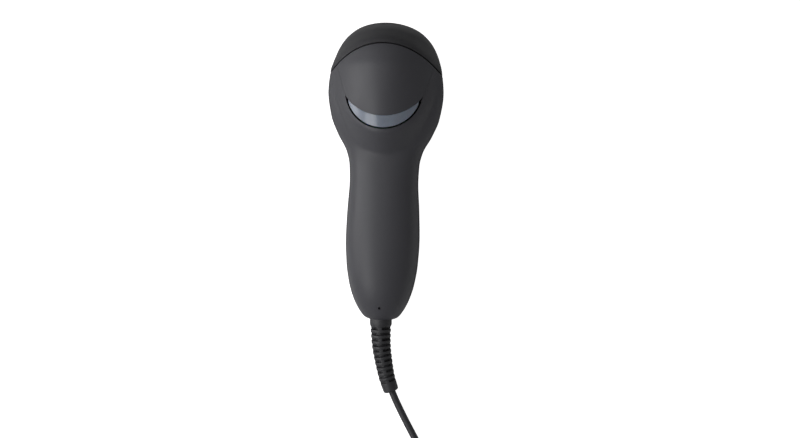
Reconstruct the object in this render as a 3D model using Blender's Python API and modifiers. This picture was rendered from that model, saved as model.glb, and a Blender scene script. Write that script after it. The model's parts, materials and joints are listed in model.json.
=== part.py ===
"""Handheld laser barcode scanner with its cord, for Blender 4.5.

Run it with blender --background --python part.py, or from the text editor.
The scanner lies on a table: z = 0 is the table top, the nose points to +Y, the cord leaves to -Y,
x = 0 is the plane of symmetry, and y = 0 is halfway along the body.
"""

import math

import bmesh
import bpy
import numpy as np
from mathutils import Matrix, Vector

MM = 0.001

# ---------------------------------------------------------------- driving sizes of the housing
BODY_LENGTH = 165.0 * MM  # plan length, cord end to nose
HEAD_WIDTH = 63.5 * MM
HANDLE_WIDTH = 40.8 * MM
NECK_WIDTH = 37.7 * MM
BODY_HEIGHT = 49.7 * MM  # table to the crown of the head
WALL = 2.0 * MM
GAP = 0.3 * MM  # between pieces that touch
SEAM_GAP = 0.7 * MM  # open joint between the covers and the nose bezel, and behind the lens
PARTING_GAP = 0.4 * MM  # between the top and the bottom cover
PARTING_CUT = PARTING_GAP / 2 + 0.07 * MM  # trims both covers' rims level

REAR = -BODY_LENGTH / 2
NOSE = BODY_LENGTH / 2
SEAM = NOSE - 27.0 * MM  # where the bezel joint meets the parting line
RIM = NOSE - 12.6 * MM  # where the bezel's front plane meets the parting line
SEAM_LEAN = 0.84  # y per z of the joint plane and of the window plane
LEAN_LENGTH = math.hypot(1.0, SEAM_LEAN)

# ---------------------------------------------------------------- cord and its exit
CORD_DIAMETER = 4.0 * MM
COLLAR_RADIUS = 6.2 * MM
COLLAR_HEIGHT = 9.0 * MM  # cord axis above the table where it leaves the handle
EXIT_RADIUS = COLLAR_RADIUS + GAP
FLANGE = Vector((15.0, 1.4, 10.4)) * MM
FLANGE_Y = REAR + 3.2 * MM

# ---------------------------------------------------------------- head: hood, button, light pipe
HOOD_CENTRE_Y = NOSE - 17.5 * MM  # centre of the ellipse that the hood's ridge follows
HOOD_HALF_WIDTH = 31.5 * MM
HOOD_HALF_LENGTH = 43.5 * MM
HOOD_FALL = 26.0 * MM  # drop outside the ridge, per ellipse radius
HOOD_EDGE = 0.03  # rounding of the ridge, in ellipse radii
DOME_CURVE = 22.2  # 1/m, sideways drop of the dome per x squared
CREASE = 0.8 * MM  # rounding where the hood meets the handle

LENS_REAR_RADIUS = 20.7 * MM
LENS_REAR_Y = NOSE - 37.8 * MM  # centre of the light pipe's rear arc
LENS_FRONT_RADIUS = 26.2 * MM
LENS_FRONT_Y = NOSE - 25.9 * MM
LENS_HALF_WIDTH = 19.2 * MM
LENS_DEPTH = 3.6 * MM
LENS_FLANGE = 3.2 * MM

BUTTON_REAR_HALF = 20.4 * MM
BUTTON_FRONT_HALF = 25.0 * MM
HINGE_Y = NOSE - 35.5 * MM
HINGE_Z = 30.2 * MM
HINGE_PIN_RADIUS = 1.15 * MM
HINGE_CLEARANCE = 0.3 * MM
LUG_INNER = 18.6 * MM
LUG_THICK = 2.0 * MM

# ---------------------------------------------------------------- window
WINDOW_RECESS = 3.0 * MM
WINDOW_THICK = 2.0 * MM
GASKET_THICK = 0.8 * MM
LIP = 2.2 * MM
LEDGE = 2.8 * MM
LEDGE_THICK = 1.6 * MM
TONGUE = 1.2 * MM
TONGUE_LENGTH = 2.2 * MM
TONGUE_INSET = 3.0 * MM
WINDOW_SEAT = WINDOW_RECESS + WINDOW_THICK + GASKET_THICK + 2 * GAP

# ---------------------------------------------------------------- boards and jack
BOARD_THICK = 1.6 * MM
BOARD_WIDTH = 23.0 * MM
BOARD_Z = 16.2 * MM  # underside of the main board
BOARD_REAR = REAR + 14.5 * MM
BOARD_FRONT = REAR + 90.0 * MM
BEEPER_Y = REAR + 51.3 * MM
JACK_SIZE = Vector((15.2, 16.0, 12.2)) * MM
JACK_REAR = REAR + 12.5 * MM
PLUG_SIZE = Vector((11.7, 21.0, 6.6)) * MM
PLUG_REAR = REAR + 5.2 * MM
LATCH_THICK = 1.1 * MM
LATCH_WIDTH = 6.2 * MM
LATCH_LENGTH = 18.5 * MM
PIN_HOLE_RADIUS = 0.75 * MM
PIN_HOLE_Y = REAR + 6.9 * MM

KEY_BOARD_Z = 33.0 * MM
KEY_BOARD_SIZE = Vector((26.0, 15.5, 1.2)) * MM
KEY_BOARD_Y = REAR + 111.7 * MM
SWITCH_SIZE = Vector((6.2, 6.2, 3.4)) * MM
SWITCH_Y = HINGE_Y - 13.8 * MM
PLUNGER_RADIUS = 1.7 * MM
PLUNGER_HEIGHT = 3.0 * MM
STEM_RADIUS = 1.6 * MM
LED_RADIUS = 1.5 * MM
LED_X = 8.0 * MM
LED_Y = REAR + 109.3 * MM

# ---------------------------------------------------------------- scan engine, in its own tilted frame
ENGINE_CENTRE = Vector((0.0, NOSE - 34.2 * MM, 25.7 * MM))
ENGINE_TILT = -math.atan(SEAM_LEAN)
CHASSIS = Vector((34.0, 24.0, 16.0)) * MM
CHASSIS_WALL = 1.6 * MM
PIVOT_RADIUS = 0.9 * MM
PIVOT = Vector((4.5, -2.0, 0.6)) * MM  # mirror axis, in the engine's frame
MIRROR_TURN = math.radians(45)
MIRROR_SIZE = Vector((14.0, 1.2, 10.0)) * MM
LASER_RADIUS = 3.0 * MM
LASER_Z = 0.0
COIL_RADIUS = 2.9 * MM  # of the drive coil
COIL_BACK = 6.4 * MM  # from the mirror's axis back to the drive coil

# ---------------------------------------------------------------- fasteners
SCREW_RADIUS = 1.1 * MM
SCREW_HEAD_RADIUS = 2.1 * MM
SCREW_HEAD = 1.3 * MM
BOSS_RADIUS = 2.9 * MM
KEY_SCREW_X, KEY_SCREW_Y = 10.3 * MM, REAR + 105.9 * MM
BOARD_SCREW_X, BOARD_SCREW_Y = 8.2 * MM, REAR + 78.5 * MM
ENGINE_SCREW = Vector((20.0, -4.0)) * MM
# x, y, height of the joint between the two bosses, height of the screw head's seat
HOUSING_SCREWS = {
    "left": (-13.5 * MM, REAR + 93.5 * MM, 20.0 * MM, 14.8 * MM),
    "right": (13.5 * MM, REAR + 93.5 * MM, 20.0 * MM, 14.8 * MM),
    "rear": (0.0, REAR + 33.5 * MM, 13.0 * MM, 3.6 * MM),
}

# ---------------------------------------------------------------- strain relief, coil and plug
RELIEF_LENGTH = 39.5 * MM
RELIEF_COLLAR = 3.1 * MM
RELIEF_PITCH = 3.0 * MM
RELIEF_SLOT = 1.35 * MM
RELIEF_CORE = 2.9 * MM
RELIEF_SLOTS = 11
RELIEF_SIDES = 24
COIL_CENTRE = Vector((4.0, -188.0, 9.5)) * MM
COIL_MID_RADIUS = 23.0 * MM
COIL_HALF_WIDTH = 9.0 * MM
COIL_HALF_HEIGHT = 8.0 * MM
USB_Y = -224.0 * MM
USB_Z = 4.3 * MM
USB_START = -9.0 * MM  # where the plug's own strain relief begins, along x
# the cord's sideways place and its height, in mm, at distances in mm behind the origin
CORD_X = [
    (82.5, 0), (93.6, 0.4), (99.1, 0.9), (104.6, 1.8), (110.1, 2.9), (115.6, 4.2), (121.2, 6.1),
    (126.7, 8.2), (130.5, 10.1), (134.4, 12.2), (138.8, 14.7), (147.7, 19.2), (157.5, 25.0),
    (167.0, 31.6), (178.0, 37.4),
]
CORD_Z = [
    (82.5, COLLAR_HEIGHT / MM), (92, 8.6), (105, 7.0), (121.2, 4.7), (130, 3.2), (140, 2.3),
    (152, 2.15), (178, 2.15),
]


def curve_through(points):
    """A smooth function through (place, value) pairs that never overshoots them (monotone cubic)."""
    x, y = (np.array(column, float) for column in zip(*points))
    step = np.diff(x)
    slope = np.diff(y) / step
    tangent = np.zeros(len(x))
    tangent[0], tangent[-1] = slope[0], slope[-1]
    for i in range(1, len(x) - 1):
        if slope[i - 1] * slope[i] > 0:
            before, after = 2 * step[i] + step[i - 1], step[i] + 2 * step[i - 1]
            tangent[i] = (before + after) / (before / slope[i - 1] + after / slope[i])

    def value(at):
        i = int(np.clip(np.searchsorted(x, at) - 1, 0, len(step) - 1))
        s = (min(max(at, x[0]), x[-1]) - x[i]) / step[i]
        return float(
            (1 + 2 * s) * (1 - s) ** 2 * y[i]
            + s * (1 - s) ** 2 * step[i] * tangent[i]
            + s * s * (3 - 2 * s) * y[i + 1]
            + s * s * (s - 1) * step[i] * tangent[i + 1]
        )

    return value


def along(*pairs):
    """Pairs of mm from the cord end and mm of value, as a smooth function in metres."""
    return curve_through([(REAR + place * MM, value * MM) for place, value in pairs])


HEAD_HALF, HANDLE_HALF, NECK_HALF = HEAD_WIDTH / 2 / MM, HANDLE_WIDTH / 2 / MM, NECK_WIDTH / 2 / MM
SEAM_AT, RIM_AT = (SEAM - REAR) / MM, (RIM - REAR) / MM
HEIGHT = BODY_HEIGHT / MM

half_width = along(
    (0, EXIT_RADIUS / MM), (0.9, EXIT_RADIUS / MM + 2.4), (4.5, HANDLE_HALF - 8.4),
    (11, HANDLE_HALF - 5.2), (21, HANDLE_HALF - 2.2), (32, HANDLE_HALF - 0.6), (45, HANDLE_HALF),
    (62, HANDLE_HALF - 0.6), (78, NECK_HALF), (87, NECK_HALF + 0.35), (94, NECK_HALF + 2.0),
    (103.5, HEAD_HALF - 5.8), (113.5, HEAD_HALF - 1.9), (127.5, HEAD_HALF),
    (SEAM_AT, HEAD_HALF - 0.7), (SEAM_AT + 6, HEAD_HALF - 2.3), (RIM_AT - 3, HEAD_HALF - 5.1),
    (RIM_AT, HEAD_HALF - 8.0),
)
parting_z = along(
    (0, COLLAR_HEIGHT / MM), (12, 11.5), (32, 14), (52, 16.5), (72, 19), (92, 21.5), (112, 25),
    (127, 27.3), (SEAM_AT, 28.4), (SEAM_AT + 7.2, 24), (RIM_AT, 18),
)
handle_crown = along(
    (0, (COLLAR_HEIGHT + EXIT_RADIUS) / MM), (1, 17), (3.5, 19.4), (8, 22.4), (14, 25.3), (22, 27.6),
    (34, 29.4), (50, 31), (70, 32.3), (90, 33.2), (110, 35), (SEAM_AT, 36),
)
underside = along(
    (0, (COLLAR_HEIGHT - EXIT_RADIUS) / MM), (1, 1.8), (4.5, 0.7), (11, 0.1), (20, -0.5), (38, -0.5),
    (47, 0.5), (62, 3), (78, 6.4), (90, 8.6), (100, 9.2), (110, 8.8), (125, 6.6), (SEAM_AT, 4),
    (SEAM_AT + 4.5, 1.6), (SEAM_AT + 8.5, -0.5), (RIM_AT, -0.7),
)
dome_crown = along(
    (60, HEIGHT - 19), (92, HEIGHT - 9.6), (104, HEIGHT - 6.2), (112.5, HEIGHT - 4), (122.5, HEIGHT - 1.7),
    (132.5, HEIGHT - 0.3), (139.5, HEIGHT), (146.5, HEIGHT - 1.1), (153.2, HEIGHT - 3.2), (160, HEIGHT - 6.5),
)
bezel_height = along((SEAM_AT, 0), (SEAM_AT + 7.2, -0.7), (RIM_AT, -3.1))


def lean(u):
    """y per z of the section at u: upright along the handle, parallel to the window at the nose."""
    start = REAR + 90.5 * MM
    return SEAM_LEAN * float(np.clip((u - start) / (SEAM - start), 0, 1)) ** 1.3


def dome(x, y):
    """The hood's height over (x, y), which falls away outside its elliptical ridge."""
    radius = math.hypot(x / HOOD_HALF_WIDTH, (y - HOOD_CENTRE_Y) / HOOD_HALF_LENGTH)
    outside = (radius - 1) / HOOD_EDGE
    soft = outside if outside > 30 else math.log1p(math.exp(outside))
    if y > HOOD_CENTRE_Y:
        soft = 0.0
    return dome_crown(y) - DOME_CURVE * x * x - HOOD_FALL * HOOD_EDGE * soft


def superellipse(share, power):
    return max(0.0, 1 - abs(share) ** power) ** (1 / power)


def roof_height(u, share):
    """Height above the parting line of the outer skin, at a share of the half width."""
    x, floor = share * half_width(u), parting_z(u)
    handle = floor + (handle_crown(u) - floor) * superellipse(share, 2.1)
    z = handle
    for _ in range(12):
        hood = dome(x, u + lean(u) * (z - floor))
        joined = (handle + hood + math.hypot(handle - hood, CREASE)) / 2
        z = floor + (joined - floor) * math.sqrt(max(0.0, 1 - abs(share) ** 16))
    return z - floor


def upper_point(u, angle):
    """A point of the top skin: angle 0 is the right parting line, pi the left one."""
    share = math.cos(angle)
    if u <= SEAM:
        height = roof_height(u, share)
    else:
        crown = roof_height(SEAM, 0.0)
        to_rim = (u - SEAM) / (RIM - SEAM)
        blend = to_rim * to_rim * (3 - 2 * to_rim)
        shape = (1 - blend) * roof_height(SEAM, share) / crown + blend * superellipse(share, 2.0)
        height = (crown + bezel_height(u)) * shape
    return Vector((share * half_width(u), u + lean(u) * height, parting_z(u) + height))


def lower_point(u, angle):
    """A point of the bottom skin: angle pi is the left parting line, 2 pi the right one."""
    share, floor = math.cos(angle), parting_z(u)
    z = max(0.0, floor - (floor - underside(u)) * superellipse(share, 2.4))
    return Vector((share * half_width(u), u + lean(u) * (z - floor), z))


# ---------------------------------------------------------------- making objects


def clear_scene():
    for old in list(bpy.data.objects):
        bpy.data.objects.remove(old)


def new_collection(name):
    collection = bpy.data.collections.new(name)
    bpy.context.scene.collection.children.link(collection)
    return collection


clear_scene()
PARTS = new_collection("handheld_barcode_scanner")
CUTTERS = new_collection("cutters")


def material(name, rgb, roughness, metallic=0.0):
    made = bpy.data.materials.new(name)
    made.use_nodes = True
    shader = made.node_tree.nodes["Principled BSDF"]
    shader.inputs["Base Color"].default_value = (*rgb, 1.0)
    shader.inputs["Roughness"].default_value = roughness
    shader.inputs["Metallic"].default_value = metallic
    return made


HOUSING = material("charcoal_abs", (0.045, 0.047, 0.052), 0.5)
BEZEL = material("nose_elastomer", (0.035, 0.035, 0.037), 0.6)
RED_ACRYLIC = material("red_acrylic", (0.35, 0.01, 0.012), 0.08)
CLEAR = material("clear_polycarbonate", (0.55, 0.58, 0.64), 0.2)
BLACK_PVC = material("cord_pvc", (0.03, 0.03, 0.033), 0.45)
BOARD_GREEN = material("circuit_board", (0.02, 0.12, 0.06), 0.45)
CHIP_BLACK = material("chip_epoxy", (0.02, 0.02, 0.02), 0.5)
STEEL = material("plated_steel", (0.6, 0.6, 0.6), 0.3, 1.0)
BRASS = material("brass", (0.7, 0.5, 0.22), 0.3, 1.0)
COPPER = material("copper_wire", (0.6, 0.28, 0.12), 0.35, 1.0)
ZINC = material("die_cast_zinc", (0.45, 0.46, 0.47), 0.45, 1.0)
SILVERED = material("silvered_mirror", (0.85, 0.86, 0.88), 0.05, 1.0)
RUBBER = material("black_rubber", (0.02, 0.02, 0.02), 0.8)
WHITE_PLASTIC = material("white_nylon", (0.75, 0.75, 0.72), 0.5)
BLUE_EPOXY = material("blue_led_epoxy", (0.05, 0.12, 0.6), 0.2)


def wrap(name, mesh, surface=None, collection=None, parent=None):
    """An object for a mesh, in the parts or, with no material, among the cutters."""
    body = bpy.data.objects.new(name, mesh)
    if surface is None:
        (collection or CUTTERS).objects.link(body)
        body.hide_render = True
        body.display_type = "WIRE"
    else:
        (collection or PARTS).objects.link(body)
        mesh.materials.append(surface)
    body.parent = parent
    return body


def empty(name, location, rotation=(0.0, 0.0, 0.0)):
    made = bpy.data.objects.new(name, None)
    PARTS.objects.link(made)
    made.location = location
    made.rotation_euler = rotation
    return made


def mesh_of(name, work):
    mesh = bpy.data.meshes.new(name)
    bmesh.ops.recalc_face_normals(work, faces=work.faces)
    work.to_mesh(mesh)
    work.free()
    return mesh


def smooth(body, angle=35.0):
    body.data.shade_smooth()
    body.data.set_sharp_from_angle(angle=math.radians(angle))
    return body


def block(name, size, centre, surface=None, parent=None, bevel=0.0):
    """A box of that size about that centre."""
    work = bmesh.new()
    bmesh.ops.create_cube(work, size=1.0)
    bmesh.ops.scale(work, vec=size, verts=work.verts)
    body = wrap(name, mesh_of(name, work), surface, parent=parent)
    body.location = centre
    if bevel:
        edge = body.modifiers.new("Bevel", "BEVEL")
        edge.width = bevel
        edge.segments = 1
    return body


TURN = {"X": Matrix.Rotation(math.pi / 2, 4, "Y"), "Y": Matrix.Rotation(-math.pi / 2, 4, "X"), "Z": Matrix()}


def rod(name, radius, length, centre, axis="Z", surface=None, parent=None, sides=20, far_radius=None):
    """A cylinder, or a cone frustum that ends in far_radius, along an axis and about a centre."""
    work = bmesh.new()
    bmesh.ops.create_cone(
        work, cap_ends=True, segments=sides, radius1=radius, radius2=far_radius or radius, depth=length
    )
    bmesh.ops.transform(work, matrix=TURN[axis], verts=work.verts)
    body = wrap(name, mesh_of(name, work), surface, parent=parent)
    body.location = centre
    return smooth(body) if surface else body


def turned(name, profile, centre, axis="Z", surface=None, parent=None, sides=24):
    """A closed (radius, height) profile turned about an axis through centre."""
    work = bmesh.new()
    ring = [work.verts.new((radius, 0.0, height)) for radius, height in profile]
    pairs = [(i - 1, i) for i in range(len(ring)) if profile[i - 1][0] or profile[i][0]]
    edges = [work.edges.new((ring[i], ring[j])) for i, j in pairs]
    bmesh.ops.spin(
        work, geom=ring + edges, axis=(0, 0, 1), cent=(0, 0, 0), steps=sides, angle=2 * math.pi, use_merge=True
    )
    bmesh.ops.remove_doubles(work, verts=work.verts, dist=1e-6)
    bmesh.ops.transform(work, matrix=TURN[axis], verts=work.verts)
    body = wrap(name, mesh_of(name, work), surface, parent=parent)
    body.location = centre
    return smooth(body)


def prism(name, outline, low, high, surface=None, parent=None):
    """An (x, y) outline extruded from low to high in z."""
    work = bmesh.new()
    face = work.faces.new([work.verts.new((x, y, low)) for x, y in outline])
    lifted = bmesh.ops.extrude_face_region(work, geom=[face])["geom"]
    bmesh.ops.translate(
        work, vec=(0, 0, high - low), verts=[v for v in lifted if isinstance(v, bmesh.types.BMVert)]
    )
    return wrap(name, mesh_of(name, work), surface, parent=parent)


def loft(name, rings, surface=None, parent=None, closed_length=False):
    """Closed rings of equal point counts, bridged in order; ends are capped unless the last meets the first."""
    work = bmesh.new()
    rows = [[work.verts.new(point) for point in ring] for ring in rings]
    count = len(rows[0])
    pairs = list(zip(rows, rows[1:]))
    if closed_length:
        pairs.append((rows[-1], rows[0]))
    for near, far in pairs:
        for i in range(count):
            work.faces.new((near[i], near[(i + 1) % count], far[(i + 1) % count], far[i]))
    if not closed_length:
        work.faces.new(rows[0][::-1])
        work.faces.new(rows[-1])
    return smooth(wrap(name, mesh_of(name, work), surface, parent=parent))


def sheet(name, rows, surface=None):
    """An open grid of points."""
    work = bmesh.new()
    grid = [[work.verts.new(point) for point in row] for row in rows]
    for near, far in zip(grid, grid[1:]):
        for i in range(len(near) - 1):
            work.faces.new((near[i], near[i + 1], far[i + 1], far[i]))
    return smooth(wrap(name, mesh_of(name, work), surface), 60)


def thicken(body, thickness, depth=0.0):
    """Gives an outward-facing sheet a wall of that thickness that starts depth below it."""
    if depth:
        sink = body.modifiers.new("Sink", "DISPLACE")
        sink.mid_level = 0.0
        sink.strength = -depth
    wall = body.modifiers.new("Solidify", "SOLIDIFY")
    wall.thickness = thickness
    wall.offset = -1.0
    return body


def combine(body, other, operation):
    step = body.modifiers.new(operation.title(), "BOOLEAN")
    step.operation = operation
    step.object = other
    step.solver = "EXACT"
    return body


def cut(body, *others):
    for other in others:
        combine(body, other, "DIFFERENCE")
    return body


def join(body, *others):
    for other in others:
        combine(body, other, "UNION")
    return body


def keep(body, other):
    return combine(body, other, "INTERSECT")


def face_up(body):
    """Turns a sheet's faces so that they point away from the inside of the housing."""
    work = bmesh.new()
    work.from_mesh(body.data)
    middle = Vector((0, 0, COLLAR_HEIGHT + 4 * MM))
    outward = sum((face.calc_center_median() - middle).normalized().dot(face.normal) for face in work.faces)
    if outward < 0:
        bmesh.ops.reverse_faces(work, faces=work.faces)
    work.to_mesh(body.data)
    work.free()
    return body


def arc(centre_y, radius, start, end, count):
    """Points on a circle about (0, centre_y), from one angle to another in degrees."""
    angles = np.radians(np.linspace(start, end, count))
    return [(radius * math.cos(a), centre_y + radius * math.sin(a)) for a in angles]


def tube(name, points, diameter, surface, sides=2):
    """A round cord along points, with flat ends."""
    data = bpy.data.curves.new(name, "CURVE")
    data.dimensions = "3D"
    data.bevel_depth = diameter / 2
    data.bevel_resolution = sides
    data.use_fill_caps = True
    line = data.splines.new("POLY")
    line.points.add(len(points) - 1)
    for point, place in zip(line.points, points):
        point.co = (*place, 1.0)
    data.materials.append(surface)
    body = bpy.data.objects.new(name, data)
    PARTS.objects.link(body)
    return body


# ---------------------------------------------------------------- housing

TOP_STEPS = 20
TOP_ANGLES = [math.pi * i / TOP_STEPS for i in range(TOP_STEPS + 1)]
BOTTOM_STEPS = 16
BOTTOM_ANGLES = [math.pi * (1 + i / BOTTOM_STEPS) for i in range(BOTTOM_STEPS + 1)]
RING_STEPS = 36
BODY_STATIONS = [
    *(REAR + place * MM for place in (0, 0.5, 1.4, 3.2, 6, 9.5, 14, 20, 28, 38, 50, 62, 72, 80)),
    *np.linspace(REAR + 85 * MM, SEAM, 19),
]


def top_rows(stations):
    rows = []
    for u in stations:
        row = [upper_point(u, angle) for angle in TOP_ANGLES]
        for edge in (row[0], row[-1]):
            edge.z += PARTING_GAP / 2
        rows.append(row)
    return rows


def bottom_rows(stations):
    rows = []
    for u in stations:
        row = [lower_point(u, angle) for angle in BOTTOM_ANGLES]
        for edge in (row[0], row[-1]):
            edge.z -= PARTING_GAP / 2
        rows.append(row)
    return rows


def head_slab(name, thickness, depth=0.0, surface=None):
    """A slab that follows the head's roof, for the pieces that continue it."""
    rows = [row[3:-3] for row in top_rows(HEAD_STATIONS)]
    slab = thicken(face_up(sheet(name, rows, surface)), thickness, depth)
    return cut(slab, SEAM_CUTTER)


def button_outline(margin, front):
    """The plan of the button's opening, brought in by a margin, from the light pipe's rear arc forward."""
    tip = math.degrees(math.asin(min(1.0, (BUTTON_REAR_HALF + SEAM_GAP) / (LENS_REAR_RADIUS + SEAM_GAP))))
    rear = arc(LENS_REAR_Y, LENS_REAR_RADIUS + SEAM_GAP - margin, -90 - tip, -90 + tip, 25)
    side = BUTTON_FRONT_HALF + GAP - margin
    bend, wide = SEAM + 5.5 * MM, side + 1 * MM
    return [*rear, (side, bend), (wide, front), (-wide, front), (-side, bend)]


def lens_outline(front_radius, half_width_limit):
    """The crescent between the two arcs, with its sharp tips cut off."""
    rear_tip = math.degrees(math.asin(half_width_limit / LENS_REAR_RADIUS))
    front_tip = math.degrees(math.asin(half_width_limit / front_radius))
    rear = arc(LENS_REAR_Y, LENS_REAR_RADIUS, -90 - rear_tip, -90 + rear_tip, 21)
    front = arc(LENS_FRONT_Y, front_radius, -90 + front_tip, -90 - front_tip, 21)
    return rear + front


HIGH, LOW = BODY_HEIGHT + 12 * MM, 25 * MM


def button_stem_height():
    return KEY_BOARD_Z + KEY_BOARD_SIZE.z + SWITCH_SIZE.z + PLUNGER_HEIGHT - 1.2 * MM + GAP


def make_button():
    """The pad on the head: hinged near the nose, pressed down at the light pipe."""
    hinge = empty("button_hinge", (0, HINGE_Y, HINGE_Z))
    pad = head_slab("scan_button", WALL, 0.0, HOUSING)
    keep(pad, prism("button_plan", button_outline(GAP, NOSE), LOW, HIGH))
    behind = arc(LENS_FRONT_Y, LENS_FRONT_RADIUS - GAP, -160, -20, 25)
    corners = [(40 * MM, REAR + 60 * MM), (-40 * MM, REAR + 60 * MM)]
    cut(pad, prism("button_rear", [*behind, *corners], LOW, HIGH))
    stem_low = button_stem_height()
    roof = roof_over(SWITCH_Y)
    stem_high = roof - WALL / 2
    stem = rod("button_stem", STEM_RADIUS, stem_high - stem_low, (0, SWITCH_Y, (stem_high + stem_low) / 2))
    join(pad, stem)
    for side in (-1, 1):
        x = side * (LUG_INNER + LUG_THICK / 2)
        top = BODY_HEIGHT - DOME_CURVE * x * x - 1.4 * MM
        low = HINGE_Z - 2.0 * MM
        join(pad, block(f"lug_{side}", (LUG_THICK, 4 * MM, top - low), (x, HINGE_Y, (top + low) / 2)))
        reach = 5.4 * MM
        centre = (x + side * reach / 2, HINGE_Y, HINGE_Z)
        join(pad, rod(f"pivot_{side}", HINGE_PIN_RADIUS, reach, centre, "X", sides=16))
    hang(pad, hinge)
    return hinge


def hang(body, parent):
    """Puts a piece modelled in world coordinates under a joint's empty without moving it."""
    body.data.transform(Matrix.Translation(-parent.location))
    body.parent = parent


def roof_over(y):
    """The outer skin's height on the centre plane, over a place y."""
    low, high = REAR + 84 * MM, SEAM
    for _ in range(40):
        middle = (low + high) / 2
        if upper_point(middle, math.pi / 2).y < y:
            low = middle
        else:
            high = middle
    return upper_point(low, math.pi / 2).z


def make_light_pipe(hinge):
    """The clear crescent behind the button, with a flange under the button's edge."""
    lens = head_slab("status_light_pipe", LENS_DEPTH, 0.0, CLEAR)
    keep(lens, prism("lens_plan", lens_outline(LENS_FRONT_RADIUS, LENS_HALF_WIDTH), LOW, HIGH))
    flange = head_slab("lens_flange", LENS_DEPTH - WALL - GAP, WALL + GAP)
    plan = lens_outline(LENS_FRONT_RADIUS - LENS_FLANGE, LENS_HALF_WIDTH - 5 * MM)
    keep(flange, prism("flange_plan", plan, LOW, HIGH))
    join(lens, flange)
    cut(lens, rod("stem_room", STEM_RADIUS + GAP, 30 * MM, (0, SWITCH_Y, BODY_HEIGHT - 8 * MM)))
    hang(lens, hinge)


# ---------------------------------------------------------------- covers


def ring(u, inset=0.0, shift=0.0):
    """The whole section at u, brought in within its own plane and moved along y."""
    angles = [2 * math.pi * i / RING_STEPS for i in range(RING_STEPS)]
    points = [upper_point(u, a) if a <= math.pi else lower_point(u, a) for a in angles]
    slant = lean(u)
    stretch = math.hypot(1.0, slant)
    moved = []
    for i, point in enumerate(points):
        step = points[(i + 1) % RING_STEPS] - points[i - 1]
        inward = Vector((-step.z * stretch, step.x)).normalized() * inset
        rise = inward.y / stretch
        moved.append(point + Vector((inward.x, slant * rise + shift, rise)))
    return moved


def plane_of(u):
    """Where the leaning section plane at u meets the table, along y."""
    return u - SEAM_LEAN * parting_z(u)


def station_at(plane):
    """The station whose leaning plane meets the table at that y."""
    low, high = SEAM, RIM
    for _ in range(40):
        middle = (low + high) / 2
        low, high = (middle, high) if plane_of(middle) < plane else (low, middle)
    return low


def leaning_block(name, plane):
    """A block in front of the leaning plane that meets the table at that y."""
    forward = Vector((0.0, 1.0, -SEAM_LEAN)) / LEAN_LENGTH
    half = 40 * MM
    z = BODY_HEIGHT / 2
    body = block(name, (2.5 * half, 2 * half, 3 * half), Vector((0, plane + SEAM_LEAN * z, z)) + forward * half)
    body.rotation_euler.x = ENGINE_TILT
    return body


def parting_slab(name, low, high):
    """Everything between two heights above the parting line, along the whole body."""
    rings = []
    wide = HEAD_WIDTH
    for u in [REAR - 4 * MM, *BODY_STATIONS, SEAM + 6 * MM]:
        z = parting_z(u)
        rings.append([(x, u, z + rise) for x, rise in ((-wide, low), (wide, low), (wide, high), (-wide, high))])
    return loft(name, rings)


def exit_room(name):
    """The cord's exit hole and the groove that grips the strain relief's flange."""
    hole = rod(f"{name}_hole", EXIT_RADIUS, 14 * MM, (0, REAR, COLLAR_HEIGHT), "Y", sides=32)
    size = FLANGE + Vector((2, 2, 2)) * GAP
    return hole, block(f"{name}_groove", size, (0, FLANGE_Y, COLLAR_HEIGHT))


def make_top_cover():
    cover = thicken(face_up(sheet("top_cover", top_rows(COVER_STATIONS), HOUSING)), WALL)
    cut(cover, parting_slab("below_parting", -40 * MM, PARTING_CUT), *exit_room("top_exit"))
    cut(cover, SEAM_CUTTER, prism("button_opening", button_outline(0.0, NOSE), LOW, HIGH))
    inner = []
    for side in (-1, 1):
        x = side * (LUG_INNER + 6.2 * MM)
        ear = block(f"ear_{side}", (2.4 * MM, 5 * MM, 14 * MM), (x, HINGE_Y, HINGE_Z + 4 * MM))
        cut(ear, rod(f"ear_hole_{side}", HINGE_PIN_RADIUS + HINGE_CLEARANCE, 6 * MM, (x, HINGE_Y, HINGE_Z), "X"))
        low = KEY_BOARD_Z + KEY_BOARD_SIZE.z + GAP
        post = rod(f"key_post_{side}", 1.7 * MM, HIGH - low, (side * KEY_SCREW_X, KEY_SCREW_Y, (HIGH + low) / 2))
        drill = rod(f"key_pilot_{side}", 1.0 * MM, 5 * MM, (side * KEY_SCREW_X, KEY_SCREW_Y, low + 2 * MM), sides=12)
        inner += [ear, cut(post, drill)]
    for name, (x, y, middle, _) in HOUSING_SCREWS.items():
        low = middle + GAP / 2
        post = rod(f"top_boss_{name}", BOSS_RADIUS, HIGH - low, (x, y, (HIGH + low) / 2))
        inner.append(cut(post, rod(f"top_pilot_{name}", SCREW_RADIUS + GAP, 12 * MM, (x, y, low + 5 * MM), sides=12)))
    for body in inner:
        join(cover, keep(body, CORE))
    cut(cover, rod("pin_hole", PIN_HOLE_RADIUS, 20 * MM, (0, PIN_HOLE_Y, 25 * MM), sides=14))


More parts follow.
